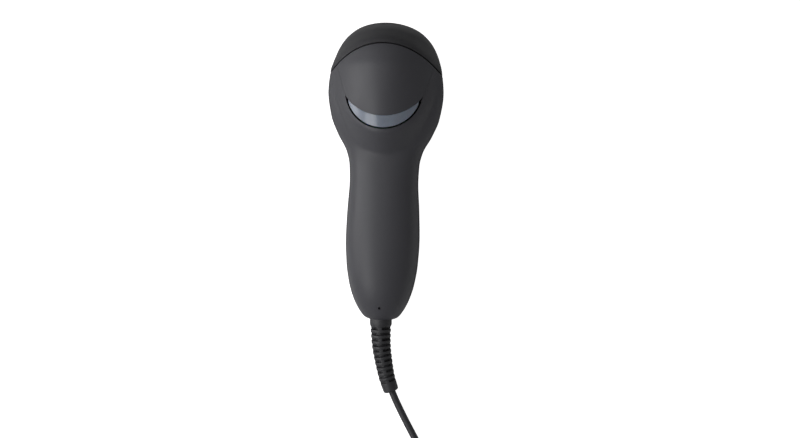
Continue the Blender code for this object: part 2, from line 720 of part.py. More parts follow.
def make_bottom_cover():
    cover = thicken(face_up(sheet("bottom_cover", bottom_rows(COVER_STATIONS), HOUSING)), WALL)
    cut(cover, parting_slab("above_parting", -PARTING_CUT, 60 * MM), *exit_room("low_exit"), SEAM_CUTTER)
    inner = []
    for name, (x, y, middle, _) in HOUSING_SCREWS.items():
        inner.append(rod(f"low_boss_{name}", BOSS_RADIUS, middle - GAP / 2, (x, y, (middle - GAP / 2) / 2)))
    top = BOARD_Z - GAP
    for side in (-1, 1):
        x, y = side * BOARD_SCREW_X, BOARD_SCREW_Y
        post = rod(f"board_post_{side}", 2.3 * MM, top, (x, y, top / 2))
        drill = rod(f"board_pilot_{side}", SCREW_RADIUS + GAP, 8 * MM, (x, y, top - 2 * MM), sides=12)
        inner.append(cut(post, drill))
        x, y, floor = side * ENGINE_SCREW.x, ENGINE_SCREW.y, -CHASSIS.z / 2
        post = rod(f"engine_post_{side}", 2.4 * MM, 24 * MM, (x, y, floor - GAP - 12 * MM))
        drill = rod(f"engine_pilot_{side}", SCREW_RADIUS + GAP, 10 * MM, (x, y, floor - 3 * MM), sides=12)
        post.parent = drill.parent = ENGINE
        inner.append(cut(post, drill))
        x = side * (JACK_SIZE.x / 2 + GAP + 0.7 * MM)
        y = JACK_REAR + JACK_SIZE.y / 2
        inner.append(block(f"jack_rib_{side}", (1.4 * MM, JACK_SIZE.y - 4 * MM, 8 * MM), (x, y, 4 * MM)))
    for body in inner:
        join(cover, keep(body, CORE))
    for name, (x, y, middle, seat) in HOUSING_SCREWS.items():
        cut(cover, rod(f"head_bore_{name}", SCREW_HEAD_RADIUS + GAP, 20 * MM, (x, y, seat - 10 * MM)))
        cut(cover, rod(f"shank_bore_{name}", SCREW_RADIUS + GAP, 30 * MM, (x, y, middle - 10 * MM), sides=12))
    for i in range(3):
        slot = block(f"sound_slot_{i}", (9 * MM, 1.0 * MM, 8 * MM), (0, BEEPER_Y + (i - 1) * 2.7 * MM, 2 * MM))
        cut(cover, slot)


def make_bezel():
    """The nose: one closed ring section swept round, with the window's ledge and the joint's tongue."""
    start = station_at(plane_of(SEAM) + SEAM_GAP * LEAN_LENGTH)
    outer = [ring(u) for u in np.linspace(start, RIM, 8)]
    seat = -WINDOW_SEAT * LEAN_LENGTH
    behind = -(WINDOW_SEAT + LEDGE_THICK) * LEAN_LENGTH
    inner_start = station_at(plane_of(RIM) + behind)
    inside = TONGUE_INSET + TONGUE
    rings = [
        *outer,
        ring(RIM, LIP),
        ring(RIM, LIP, seat),
        ring(RIM, LIP + LEDGE, seat),
        ring(RIM, LIP + LEDGE, behind),
        ring(inner_start, inside),
        ring((inner_start + start) / 2, inside),
        ring(start, inside),
        ring(SEAM - TONGUE_LENGTH, inside),
        ring(SEAM - TONGUE_LENGTH, TONGUE_INSET),
        ring(start, TONGUE_INSET),
    ]
    loft("nose_bezel", rings, BEZEL, closed_length=True)


def make_window():
    front = -WINDOW_RECESS * LEAN_LENGTH
    back = -(WINDOW_RECESS + WINDOW_THICK) * LEAN_LENGTH
    loft("scan_window", [ring(RIM, LIP + GAP, back), ring(RIM, LIP + GAP, front)], RED_ACRYLIC)
    near = -(WINDOW_RECESS + WINDOW_THICK + GAP) * LEAN_LENGTH
    far = near - GASKET_THICK * LEAN_LENGTH
    wide, narrow = LIP + GAP, LIP + LEDGE - GAP
    rings = [ring(RIM, wide, near), ring(RIM, wide, far), ring(RIM, narrow, far), ring(RIM, narrow, near)]
    loft("window_gasket", rings, RUBBER, closed_length=True)


# ---------------------------------------------------------------- fasteners


def screw(name, seat, length, parent=None, point_up=True):
    """A pan-head screw whose head rests at the seat."""
    sign = 1 if point_up else -1
    profile = [
        (0.0, -sign * SCREW_HEAD), (SCREW_HEAD_RADIUS, -sign * SCREW_HEAD), (SCREW_HEAD_RADIUS, 0.0),
        (SCREW_RADIUS, 0.0), (SCREW_RADIUS, sign * length), (0.0, sign * length),
    ]
    body = turned(name, profile, seat, surface=STEEL, parent=parent, sides=14)
    slot = block(f"{name}_slot", (3 * MM, 0.6 * MM, 0.8 * MM), Vector(seat) - Vector((0, 0, sign * SCREW_HEAD)))
    slot.parent = parent
    return cut(body, slot)


def make_screws():
    for name, (x, y, middle, seat) in HOUSING_SCREWS.items():
        screw(f"housing_screw_{name}", (x, y, seat - GAP), middle - seat + 6 * MM)


# ---------------------------------------------------------------- boards


def on_board(name, size, x, y, surface, bevel=0.2 * MM):
    z = BOARD_Z + BOARD_THICK + GAP + size[2] / 2
    return block(name, size, (x, y, z), surface, bevel=bevel)


def make_main_board():
    middle = (BOARD_REAR + BOARD_FRONT) / 2
    size = (BOARD_WIDTH, BOARD_FRONT - BOARD_REAR, BOARD_THICK)
    board = block("main_board", size, (0, middle, BOARD_Z + BOARD_THICK / 2), BOARD_GREEN)
    x, y = HOUSING_SCREWS["rear"][:2]
    cut(board, rod("board_boss_hole", BOSS_RADIUS + 0.4 * MM, 6 * MM, (x, y, BOARD_Z)))
    for side in (-1, 1):
        cut(board, rod(f"board_hole_{side}", SCREW_RADIUS + GAP, 6 * MM, (side * BOARD_SCREW_X, BOARD_SCREW_Y, BOARD_Z)))
        seat = (side * BOARD_SCREW_X, BOARD_SCREW_Y, BOARD_Z + BOARD_THICK + GAP)
        name = "left" if side < 0 else "right"
        screw(f"board_screw_{name}", seat, 4.5 * MM, point_up=False)
    on_board("decoder_chip", Vector((10, 10, 1.4)) * MM, 0, -12 * MM, CHIP_BLACK)
    on_board("memory_chip", Vector((6, 5, 1.4)) * MM, -6 * MM, -46 * MM, CHIP_BLACK)
    on_board("regulator_chip", Vector((6.5, 3.6, 1.7)) * MM, 5 * MM, -58 * MM, CHIP_BLACK)
    on_board("clock_crystal", Vector((11, 4.6, 3.4)) * MM, 0, -22 * MM, STEEL, 0.8 * MM)
    on_board("stand_sensor", Vector((14, 2.6, 2.6)) * MM, 0, 1.5 * MM, CHIP_BLACK)
    z = BOARD_Z + BOARD_THICK + GAP
    rod("supply_capacitor", 3.1 * MM, 5.6 * MM, (6.5 * MM, -45 * MM, z + 2.8 * MM), surface=STEEL)
    beeper = rod("beeper", 6 * MM, 7.0 * MM, (0, BEEPER_Y, z + 3.5 * MM), surface=CHIP_BLACK, sides=28)
    cut(beeper, rod("beeper_hole", 1.2 * MM, 4 * MM, (0, BEEPER_Y, z + 7 * MM), sides=14))


def make_flat_cable():
    """The ribbon from the main board up to the scan engine, as a side profile swept across."""
    thick = 0.4 * MM
    start = Vector((BOARD_FRONT - 4 * MM, BOARD_Z + BOARD_THICK + GAP))
    end = Vector((ENGINE_CENTRE.y - 13.2 * MM, ENGINE_CENTRE.z + 4.0 * MM))
    line = [start, start + Vector((7, 0)) * MM, start + Vector((13, 1.2)) * MM, end - Vector((4.0, 5.0)) * MM, end]
    side = [p + Vector((0, thick)) for p in reversed(line)]
    work = bmesh.new()
    width = 9 * MM
    face = work.faces.new([work.verts.new((-width / 2, y, z)) for y, z in line + side])
    lifted = bmesh.ops.extrude_face_region(work, geom=[face])["geom"]
    bmesh.ops.translate(work, vec=(width, 0, 0), verts=[v for v in lifted if isinstance(v, bmesh.types.BMVert)])
    wrap("flat_cable", mesh_of("flat_cable", work), WHITE_PLASTIC)


def make_key_board():
    top = KEY_BOARD_Z + KEY_BOARD_SIZE.z
    board = block("key_board", KEY_BOARD_SIZE, (0, KEY_BOARD_Y, top - KEY_BOARD_SIZE.z / 2), BOARD_GREEN)
    for side in (-1, 1):
        x = side * KEY_SCREW_X
        cut(board, rod(f"key_hole_{side}", 1.1 * MM, 6 * MM, (x, KEY_SCREW_Y, KEY_BOARD_Z), sides=14))
        name = "left" if side < 0 else "right"
        profile = [(0, -1.1), (1.7, -1.1), (1.7, 0), (0.7, 0), (0.7, 4.5), (0, 4.5)]
        profile = [(r * MM, h * MM) for r, h in profile]
        turned(f"key_screw_{name}", profile, (x, KEY_SCREW_Y, KEY_BOARD_Z - GAP), surface=STEEL, sides=14)
        led_profile = [(0.0, 0.0), (LED_RADIUS, 0.0), (LED_RADIUS, 2.4 * MM), (1.1 * MM, 3.5 * MM), (0.0, 3.9 * MM)]
        turned(
            "led_blue" if side < 0 else "led_white", led_profile, (side * LED_X, LED_Y, top + GAP),
            surface=BLUE_EPOXY if side < 0 else CLEAR, sides=16,
        )
    switch_z = top + GAP + SWITCH_SIZE.z / 2
    switch = block("tact_switch", SWITCH_SIZE, (0, SWITCH_Y, switch_z), CHIP_BLACK, bevel=0.3 * MM)
    z = switch_z + SWITCH_SIZE.z / 2
    cut(switch, rod("plunger_bore", PLUNGER_RADIUS + GAP, 3.2 * MM, (0, SWITCH_Y, z)))
    low = z - 1.2 * MM
    tall = PLUNGER_HEIGHT - GAP
    rod("switch_plunger", PLUNGER_RADIUS, tall, (0, SWITCH_Y, low + tall / 2), surface=WHITE_PLASTIC)


# ---------------------------------------------------------------- scan engine


def make_chassis():
    size = CHASSIS
    body = block("optics_chassis", size, (0, 0, 0), ZINC, ENGINE)
    inside = Vector((size.x - 2 * CHASSIS_WALL, size.y, size.z))
    hollow = block("chassis_hollow", inside, (0, CHASSIS_WALL + 0.5 * MM, CHASSIS_WALL + 0.5 * MM), parent=ENGINE)
    cut(body, hollow)
    floor = -size.z / 2
    for side in (-1, 1):
        x, y = side * ENGINE_SCREW.x, ENGINE_SCREW.y
        join(body, block(f"chassis_ear_{side}", (8 * MM, 7 * MM, 2 * MM), (x, y, floor + 1 * MM), parent=ENGINE))
        cut(body, rod(f"chassis_hole_{side}", SCREW_RADIUS + GAP, 8 * MM, (x, y, floor), parent=ENGINE, sides=14))
        name = "left" if side < 0 else "right"
        screw(f"engine_screw_{name}", (x, y, floor + 2 * MM + GAP), 6 * MM, ENGINE, point_up=False)
    top = LASER_Z - LASER_RADIUS - GAP
    floor += 1 * MM
    centre = (-10.5 * MM, PIVOT.y, (top + floor) / 2)
    join(body, block("laser_cradle", (9 * MM, 5 * MM, top - floor), centre, parent=ENGINE))
    coil_x, coil_y = coil_place()
    top = PIVOT.z - COIL_RADIUS - GAP
    centre = (coil_x, coil_y, (top + floor) / 2)
    join(body, block("coil_stand", (3.6 * MM, 3.6 * MM, top - floor), centre, parent=ENGINE))


def coil_place():
    """The drive coil's centre, behind the magnet on the mirror's own line of sight."""
    return PIVOT.x + COIL_BACK * math.sin(MIRROR_TURN), PIVOT.y - COIL_BACK * math.cos(MIRROR_TURN)


def make_engine():
    make_chassis()
    barrel = rod("laser_barrel", LASER_RADIUS, 8 * MM, (-10.0 * MM, PIVOT.y, LASER_Z), "X", BRASS, ENGINE, 20)
    cut(barrel, rod("laser_bore", 1.6 * MM, 5 * MM, (-6.0 * MM, PIVOT.y, LASER_Z), "X", parent=ENGINE))
    lens = [(0.0, -0.5), (1.3, -0.5), (1.3, 0.3), (0.7, 0.7), (0.0, 0.85)]
    turned("laser_lens", [(r * MM, h * MM) for r, h in lens], (-7.6 * MM, PIVOT.y, LASER_Z), "X", CLEAR, ENGINE, 16)
    board = Vector((1.0, 9.0, 4.6)) * MM
    block("sensor_board", board, (-14.6 * MM, PIVOT.y, 5.6 * MM), BOARD_GREEN, ENGINE)
    block("photodiode", Vector((0.8, 4.5, 3.0)) * MM, (-13.4 * MM, PIVOT.y, 5.6 * MM), CHIP_BLACK, ENGINE)
    block("red_filter", Vector((0.5, 5.0, 3.4)) * MM, (-12.45 * MM, PIVOT.y, 5.6 * MM), RED_ACRYLIC, ENGINE)
    floor = -CHASSIS.z / 2 + CHASSIS_WALL + 0.5 * MM
    pin_low, pin_high = floor + GAP, 6.8 * MM
    centre = (PIVOT.x, PIVOT.y, (pin_low + pin_high) / 2)
    rod("pivot_pin", PIVOT_RADIUS, pin_high - pin_low, centre, "Z", STEEL, ENGINE, 16)
    hinge = empty("mirror_hinge", PIVOT, (0, 0, MIRROR_TURN))
    hinge.parent = ENGINE
    carrier = block("mirror_carrier", Vector((9, 3.4, 7)) * MM, (0, 0, 0), WHITE_PLASTIC, hinge)
    cut(carrier, rod("carrier_bore", PIVOT_RADIUS + GAP, 20 * MM, (0, 0, 0), parent=hinge, sides=16))
    block("scan_mirror", MIRROR_SIZE, (0, 1.7 * MM + GAP + MIRROR_SIZE.y / 2, 0), SILVERED, hinge)
    block("drive_magnet", Vector((4, 1.6, 4)) * MM, (0, -1.7 * MM - GAP - 0.8 * MM, 0), STEEL, hinge)
    coil_x, coil_y = coil_place()
    inner, outer, half = 1.3 * MM, COIL_RADIUS, 1.2 * MM
    section = [(inner, -half), (outer, -half), (outer, half), (inner, half)]
    centre = (coil_x, coil_y, PIVOT.z)
    coil = turned("drive_coil", section, centre, "Y", COPPER, ENGINE, 20)
    core = rod("coil_core", inner - GAP, 3.4 * MM, centre, "Y", STEEL, ENGINE, 14)
    for body in (coil, core):
        body.rotation_euler.z = MIRROR_TURN


# ---------------------------------------------------------------- cable


def make_jack():
    middle = JACK_REAR + JACK_SIZE.y / 2
    z = COLLAR_HEIGHT + 0.75 * MM
    jack = block("modular_jack", JACK_SIZE, (0, middle, z), CHIP_BLACK)
    depth = 14.6 * MM
    room = Vector((PLUG_SIZE.x + 2 * GAP, 2 * depth, PLUG_SIZE.z + 2 * GAP))
    cut(jack, block("jack_room", room, (0, JACK_REAR, COLLAR_HEIGHT)))
    high = z + JACK_SIZE.z / 2 - 0.5 * MM
    room = (LATCH_WIDTH + 2 * GAP, 2 * depth, high - COLLAR_HEIGHT)
    cut(jack, block("latch_room", room, (0, JACK_REAR, (high + COLLAR_HEIGHT) / 2)))


def make_plug():
    front = PLUG_REAR + PLUG_SIZE.y
    plug = block("modular_plug", PLUG_SIZE, (0, (PLUG_REAR + front) / 2, COLLAR_HEIGHT), CLEAR, bevel=0.25 * MM)
    for i in range(10):
        x = (i - 4.5) * 1.02 * MM
        cut(plug, block(f"contact_slot_{i}", (0.5 * MM, 8 * MM, 1.6 * MM), (x, front, COLLAR_HEIGHT - PLUG_SIZE.z / 2)))
    hinge_z = COLLAR_HEIGHT + PLUG_SIZE.z / 2 + GAP + LATCH_THICK / 2
    hinge = empty("latch_hinge", (0, front - 1.6 * MM, hinge_z), (-math.radians(6.0), 0, 0))
    latch = block("plug_latch", (LATCH_WIDTH, LATCH_LENGTH, LATCH_THICK), (0, -LATCH_LENGTH / 2, 0), CLEAR, hinge)
    join(latch, block("latch_catch", (LATCH_WIDTH, 1.6 * MM, LATCH_THICK), (0, -13.6 * MM, 0.15 * MM), parent=hinge))


def cord_line(start, end, count):
    """Points of the cord's centre line between two distances behind the origin."""
    x = curve_through([(a * MM, b * MM) for a, b in CORD_X])
    z = curve_through([(a * MM, b * MM) for a, b in CORD_Z])
    return [Vector((x(back), -back, z(back))) for back in np.linspace(start, end, count)]


def relief_radius(s, angle):
    """Radius of the strain relief at a distance outside the housing, with its crossed slots."""
    if s < RELIEF_COLLAR:
        return COLLAR_RADIUS
    share = (s - RELIEF_COLLAR) / (RELIEF_LENGTH - RELIEF_COLLAR)
    radius = (5.5 - 1.4 * share) * MM
    place = s - RELIEF_COLLAR - 0.7 * MM
    index, within = divmod(place, RELIEF_PITCH)
    if 0 <= index < RELIEF_SLOTS and within < RELIEF_SLOT:
        across = abs(math.cos(angle)) if index % 2 == 0 else abs(math.sin(angle))
        if across > 0.5:
            return RELIEF_CORE
    return radius


def make_strain_relief():
    line = cord_line(BODY_LENGTH / 2 - 4 * MM, BODY_LENGTH / 2 + RELIEF_LENGTH + 2 * MM, 160)
    runs = np.concatenate([[0], np.cumsum([(b - a).length for a, b in zip(line, line[1:])])])
    runs -= 4 * MM
    edge = 0.04 * MM
    stations = [-3.6 * MM, 0.0, RELIEF_COLLAR - edge, RELIEF_COLLAR + edge]
    for i in range(RELIEF_SLOTS):
        start = RELIEF_COLLAR + 0.7 * MM + i * RELIEF_PITCH
        stations += [start - edge, start + edge, start + RELIEF_SLOT - edge, start + RELIEF_SLOT + edge]
    stations.append(RELIEF_LENGTH)
    rings = []
    for s in stations:
        i = int(np.clip(np.searchsorted(runs, s) - 1, 0, len(line) - 2))
        share = (s - runs[i]) / (runs[i + 1] - runs[i])
        centre = line[i].lerp(line[i + 1], share)
        ahead = (line[i + 1] - line[i]).normalized()
        side = ahead.cross(Vector((0, 0, 1))).normalized()
        up = side.cross(ahead)
        angles = [2 * math.pi * (k + 0.5) / RELIEF_SIDES for k in range(RELIEF_SIDES)]
        rings.append([centre + (side * math.cos(a) + up * math.sin(a)) * relief_radius(s, a) for a in angles])
    body = loft("strain_relief", rings, BLACK_PVC)
    flange = block("relief_flange", FLANGE, (0, FLANGE_Y, COLLAR_HEIGHT))
    join(body, flange)


def make_cord():
    start = BODY_LENGTH / 2 + RELIEF_LENGTH
    tube("cord_free", cord_line(start - 0.4 * MM, 178 * MM, 26), CORD_DIAMETER, BLACK_PVC)
    section = []
    for i in range(12):
        a = 2 * math.pi * i / 12
        section.append((COIL_MID_RADIUS + COIL_HALF_WIDTH * math.cos(a), COIL_HALF_HEIGHT * math.sin(a)))
    turned("cord_coil", section, COIL_CENTRE, surface=BLACK_PVC, sides=32)
    place = COIL_CENTRE - Vector((COIL_MID_RADIUS, 0, 0))
    wide, tall = 2 * COIL_HALF_WIDTH, 2 * COIL_HALF_HEIGHT
    band = block("coil_tie", (wide + 2.6 * MM, 4 * MM, tall + 2.4 * MM), place, BLACK_PVC)
    cut(band, block("tie_room", (wide + 0.7 * MM, 8 * MM, tall + 0.6 * MM), place))
    start = -USB_START - 24 * MM
    y = curve_through([(start, -221.6 * MM), (start + 10 * MM, -222.9 * MM), (-USB_START, USB_Y)])
    z = curve_through([(start, 3.2 * MM), (start + 14 * MM, 3.2 * MM), (-USB_START, USB_Z)])
    places = np.linspace(start, -USB_START - 0.4 * MM, 12)
    tube("cord_tail", [Vector((-p, y(p), z(p))) for p in places], CORD_DIAMETER, BLACK_PVC)


def make_usb_plug():
    relief = 9 * MM
    x = USB_START - relief / 2
    rod("usb_strain_relief", 3.4 * MM, relief, (x, USB_Y, USB_Z), "X", BLACK_PVC, far_radius=2.7 * MM)
    x = USB_START - relief - GAP
    grip = Vector((27.0, 15.6, 8.0)) * MM
    block("usb_overmould", grip, (x - grip.x / 2, USB_Y, USB_Z), BLACK_PVC, bevel=1.2 * MM)
    x -= grip.x + GAP
    shell = Vector((12.0, 12.0, 4.5)) * MM
    body = block("usb_shell", shell, (x - shell.x / 2, USB_Y, USB_Z), STEEL)
    room = Vector((22.0, 11.4, 3.9)) * MM
    cut(body, block("usb_room", room, (x - shell.x, USB_Y, USB_Z)))
    tongue = Vector((10.2, 10.6, 1.7)) * MM
    place = (x - shell.x + tongue.x / 2 + 0.3 * MM, USB_Y, USB_Z + 0.8 * MM)
    block("usb_tongue", tongue, place, WHITE_PLASTIC)


COVER_STATIONS = [*BODY_STATIONS, SEAM + 2.5 * MM]
HEAD_STATIONS = [u for u in COVER_STATIONS if u > REAR + 96 * MM]
SEAM_CUTTER = leaning_block("seam_cutter", plane_of(SEAM))
CORE = loft("core", [ring(u, 0.7 * MM) for u in BODY_STATIONS[2:]])
ENGINE = empty("engine_frame", ENGINE_CENTRE, (ENGINE_TILT, 0, 0))

make_top_cover()
make_bottom_cover()
make_bezel()
make_window()
make_light_pipe(make_button())
make_screws()
make_main_board()
make_flat_cable()
make_key_board()
make_engine()
make_jack()
make_plug()
make_strain_relief()
make_cord()
make_usb_plug()
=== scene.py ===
"""Handheld laser barcode scanner: the finished look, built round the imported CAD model.

Everything is in metres in the CAD model's frame: z = 0 is the table, the nose points to +Y, the cord
leaves to -Y and x = 0 is the plane of symmetry.
"""

import json
import math

import bmesh
import bpy
import numpy as np
from mathutils import Matrix, Vector


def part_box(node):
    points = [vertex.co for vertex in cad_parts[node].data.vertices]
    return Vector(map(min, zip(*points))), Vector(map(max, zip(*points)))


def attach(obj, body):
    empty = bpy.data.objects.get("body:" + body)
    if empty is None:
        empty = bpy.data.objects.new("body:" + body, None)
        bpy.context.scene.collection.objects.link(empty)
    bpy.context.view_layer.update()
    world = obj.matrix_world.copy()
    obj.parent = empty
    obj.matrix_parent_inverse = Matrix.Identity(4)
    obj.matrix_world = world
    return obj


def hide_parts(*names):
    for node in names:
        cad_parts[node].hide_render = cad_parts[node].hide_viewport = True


bl_info = {
    "name": "Handheld Barcode Scanner",
    "version": (1, 0, 0),
    "blender": (4, 5, 0),
    "location": "View3D > Sidebar > Scanner",
    "description": "Builds a corded handheld laser barcode scanner with its finishes and its coiled lead",
    "category": "Add Mesh",
}

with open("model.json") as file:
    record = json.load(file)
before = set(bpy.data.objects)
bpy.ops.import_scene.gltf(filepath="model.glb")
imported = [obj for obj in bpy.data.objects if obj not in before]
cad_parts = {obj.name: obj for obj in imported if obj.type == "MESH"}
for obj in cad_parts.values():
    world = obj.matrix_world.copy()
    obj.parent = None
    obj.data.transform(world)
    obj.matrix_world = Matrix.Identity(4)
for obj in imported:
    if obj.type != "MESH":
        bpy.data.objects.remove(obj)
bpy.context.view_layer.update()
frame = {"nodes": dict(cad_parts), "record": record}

MM = 0.001
COVER_LOW, COVER_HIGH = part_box("top_cover")
BEZEL_LOW, BEZEL_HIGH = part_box("nose_bezel")
BUTTON_LOW, BUTTON_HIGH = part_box("scan_button")
REAR = COVER_LOW[1]
NOSE = BEZEL_HIGH[1]
CROWN = BUTTON_HIGH[2]
HEAD_WIDTH = COVER_HIGH[0] - COVER_LOW[0]
SEAM = NOSE - 27.0 * MM
RIM = NOSE - 12.6 * MM
LEAN = 0.84
LEAN_LENGTH = math.hypot(1.0, LEAN)
JOINT = 0.75 * MM  # open joints at the bezel and behind the light pipe
WALL = 1.6 * MM
EXIT_HEIGHT = 9.0 * MM
EXIT_RADIUS = 6.5 * MM
RIDGE_CENTRE = NOSE - 17.5 * MM
RIDGE_HALF_WIDTH = 31.5 * MM
RIDGE_HALF_LENGTH = 43.5 * MM
HIGH, LOW = CROWN + 12 * MM, 25 * MM


class ScannerSizes(bpy.types.PropertyGroup):
    ridge_edge: bpy.props.FloatProperty(
        name="Ridge Rounding", description="Softness of the hood's ridge, in ridge radii", default=0.012, min=0.005
    )
    crease: bpy.props.FloatProperty(
        name="Crease Rounding", description="Rounding where the hood meets the handle", default=1.1 * MM, unit="LENGTH"
    )
    button_gap: bpy.props.FloatProperty(
        name="Button Gap", description="Hairline between the pad and the hood", default=0.07 * MM, unit="LENGTH"
    )
    texture_grain: bpy.props.FloatProperty(
        name="Moulded Grain", description="Size of the fine texture on the housing", default=0.35 * MM, unit="LENGTH"
    )


class CordSizes(bpy.types.PropertyGroup):
    diameter: bpy.props.FloatProperty(name="Diameter", description="Outside of the lead", default=4.0 * MM, unit="LENGTH")
    pitch: bpy.props.FloatProperty(
        name="Turn Pitch", description="Distance between neighbouring turns of the coil", default=4.15 * MM, unit="LENGTH"
    )


class ScannerColours(bpy.types.PropertyGroup):
    housing: bpy.props.StringProperty(name="Housing", description="Moulded ABS, as sRGB hex", default="4b4b50")
    nose: bpy.props.StringProperty(name="Nose", description="Soft nose moulding, as sRGB hex", default="38383b")
    lead: bpy.props.StringProperty(name="Lead", description="PVC lead, as sRGB hex", default="3a3a3d")
    light_pipe: bpy.props.StringProperty(name="Light Pipe", description="Clear plastic, as sRGB hex", default="858d9b")


# ---------------------------------------------------------------- the shape of the housing


def smooth_curve(points, scale=MM, start=REAR):
    """A function through (mm from the cord end, mm) pairs that doesn't overshoot, for arrays (monotone cubic)."""
    x = start + np.array([p[0] for p in points]) * scale
    y = np.array([p[1] for p in points]) * scale
    step = np.diff(x)
    slope = np.diff(y) / step
    tangent = np.concatenate([[slope[0]], np.zeros(len(x) - 2), [slope[-1]]])
    for i in range(1, len(x) - 1):
        if slope[i - 1] * slope[i] > 0:
            before, after = 2 * step[i] + step[i - 1], step[i] + 2 * step[i - 1]
            tangent[i] = (before + after) / (before / slope[i - 1] + after / slope[i])

    def value(at):
        at = np.clip(np.asarray(at, float), x[0], x[-1])
        i = np.clip(np.searchsorted(x, at) - 1, 0, len(step) - 1)
        s = (at - x[i]) / step[i]
        return (
            (1 + 2 * s) * (1 - s) ** 2 * y[i]
            + s * (1 - s) ** 2 * step[i] * tangent[i]
            + s * s * (3 - 2 * s) * y[i + 1]
            + s * s * (s - 1) * step[i] * tangent[i + 1]
        )

    return value


HEAD, HANDLE, NECK = HEAD_WIDTH / 2 / MM, 20.4, 18.85
SEAM_AT, RIM_AT, TALL = (SEAM - REAR) / MM, (RIM - REAR) / MM, CROWN / MM

half_width = smooth_curve([
    (0, 6.5), (0.9, 8.9), (4.5, HANDLE - 8.4), (11, HANDLE - 5.2), (21, HANDLE - 2.2), (32, HANDLE - 0.6),
    (45, HANDLE), (62, HANDLE - 0.6), (78, NECK), (87, NECK + 0.35), (94, NECK + 2.0), (103.5, HEAD - 5.8),
    (113.5, HEAD - 1.9), (127.5, HEAD), (SEAM_AT, HEAD - 0.7), (SEAM_AT + 6, HEAD - 2.3), (RIM_AT - 3, HEAD - 5.1),
    (RIM_AT, HEAD - 8.0),
])
parting_height = smooth_curve([
    (0, 9), (12, 11.5), (32, 14), (52, 16.5), (72, 19), (92, 21.5), (112, 25), (127, 27.3), (SEAM_AT, 28.4),
    (SEAM_AT + 7.2, 24), (RIM_AT, 18),
])
handle_crown = smooth_curve([
    (0, 15.5), (1, 17), (3.5, 19.4), (8, 22.4), (14, 25.3), (22, 27.6), (34, 29.4), (50, 31), (70, 32.3),
    (90, 33.2), (110, 35), (SEAM_AT, 36),
])
underside = smooth_curve([
    (0, 2.5), (1, 1.8), (4.5, 0.7), (11, 0.1), (20, -0.5), (38, -0.5), (47, 0.5), (62, 3), (78, 6.4), (90, 8.6),
    (100, 9.2), (110, 8.8), (125, 6.6), (SEAM_AT, 4), (SEAM_AT + 4.5, 1.6), (SEAM_AT + 8.5, -0.5), (RIM_AT, -0.7),
])
dome_crown = smooth_curve([
    (60, TALL - 19), (92, TALL - 9.6), (104, TALL - 6.2), (112.5, TALL - 4), (122.5, TALL - 1.7),
    (132.5, TALL - 0.3), (139.5, TALL), (146.5, TALL - 1.1), (153.2, TALL - 3.2), (160, TALL - 6.5),
])
bezel_drop = smooth_curve([(SEAM_AT, 0), (SEAM_AT + 7.2, -0.7), (RIM_AT, -3.1)])


def lean(u):
    """y per z of the section at u: upright along the handle, parallel to the window at the nose."""
    start = REAR + 90.5 * MM
    return LEAN * np.clip((u - start) / (SEAM - start), 0, 1) ** 1.3


def superellipse(share, power):
    return np.maximum(0.0, 1 - np.abs(share) ** power) ** (1 / power)


def roof_height(u, share):
    """Height above the parting line of the outer skin, at a share of the half width."""
    sizes = bpy.context.scene.scanner_sizes
    x, floor, slant = share * half_width(u), parting_height(u), lean(u)
    handle = floor + (handle_crown(u) - floor) * superellipse(share, 2.1)
    z = handle.copy()
    for _ in range(14):
        y = u + slant * (z - floor)
        radius = np.hypot(x / RIDGE_HALF_WIDTH, (y - RIDGE_CENTRE) / RIDGE_HALF_LENGTH)
        outside = np.where(y > RIDGE_CENTRE, -60.0, (radius - 1) / sizes.ridge_edge)
        hood = dome_crown(y) - 22.2 * x * x - 26 * MM * sizes.ridge_edge * np.logaddexp(0, outside)
        joined = (handle + hood + np.hypot(handle - hood, sizes.crease)) / 2
        z = floor + (joined - floor) * np.sqrt(np.maximum(0.0, 1 - np.abs(share) ** 16))
    return z - floor


def skin(u, angle):
    """Points of the whole outer skin: angle 0 is the right parting line, pi / 2 the top, pi the left one."""
    u, angle = np.broadcast_arrays(np.asarray(u, float), np.asarray(angle, float))
    share, floor = np.cos(angle), parting_height(u)
    roof = roof_height(np.minimum(u, SEAM), share)
    crown = roof_height(np.full_like(u, SEAM), np.zeros_like(u))
    to_rim = np.clip((u - SEAM) / (RIM - SEAM), 0, 1)
    blend = to_rim * to_rim * (3 - 2 * to_rim)
    nose = (crown + bezel_drop(u)) * ((1 - blend) * roof / crown + blend * superellipse(share, 2.0))
    above = np.where(u > SEAM, nose, roof)
    below = np.maximum(0.0, floor - (floor - underside(u)) * superellipse(share, 2.4)) - floor
    height = np.where(np.sin(angle) >= -1e-9, above, below)
    return np.stack([share * half_width(u), u + lean(u) * height, floor + height], axis=-1)


def leaning_plane(u):
    """Where the leaning section plane at u meets the table, along y."""
    return u - LEAN * parting_height(u)


SEAM_PLANE = float(leaning_plane(SEAM)) - 1.9 * MM  # the joint between covers and bezel


def ring_on(plane, around):
    """The outer skin's section in the leaning plane that meets the table at that y."""
    places = np.linspace(SEAM - 9 * MM, RIM, 160)
    points = skin(places[:, None], around[None, :])
    reach = points[..., 1] - LEAN * points[..., 2]
    found = [[np.interp(plane, reach[:, i], points[:, i, k]) for k in range(3)] for i in range(len(around))]
    return np.array(found)


def stations(first, last, gap):
    return np.linspace(first, last, max(3, int(round((last - first) / gap)) + 1))


# ---------------------------------------------------------------- making pieces


def to_linear(code, alpha=1.0):
    """An sRGB hex code as linear RGBA."""
    parts = [int(code[i : i + 2], 16) / 255 for i in (0, 2, 4)]
    return [p / 12.92 if p <= 0.04045 else ((p + 0.055) / 1.055) ** 2.4 for p in parts] + [alpha]


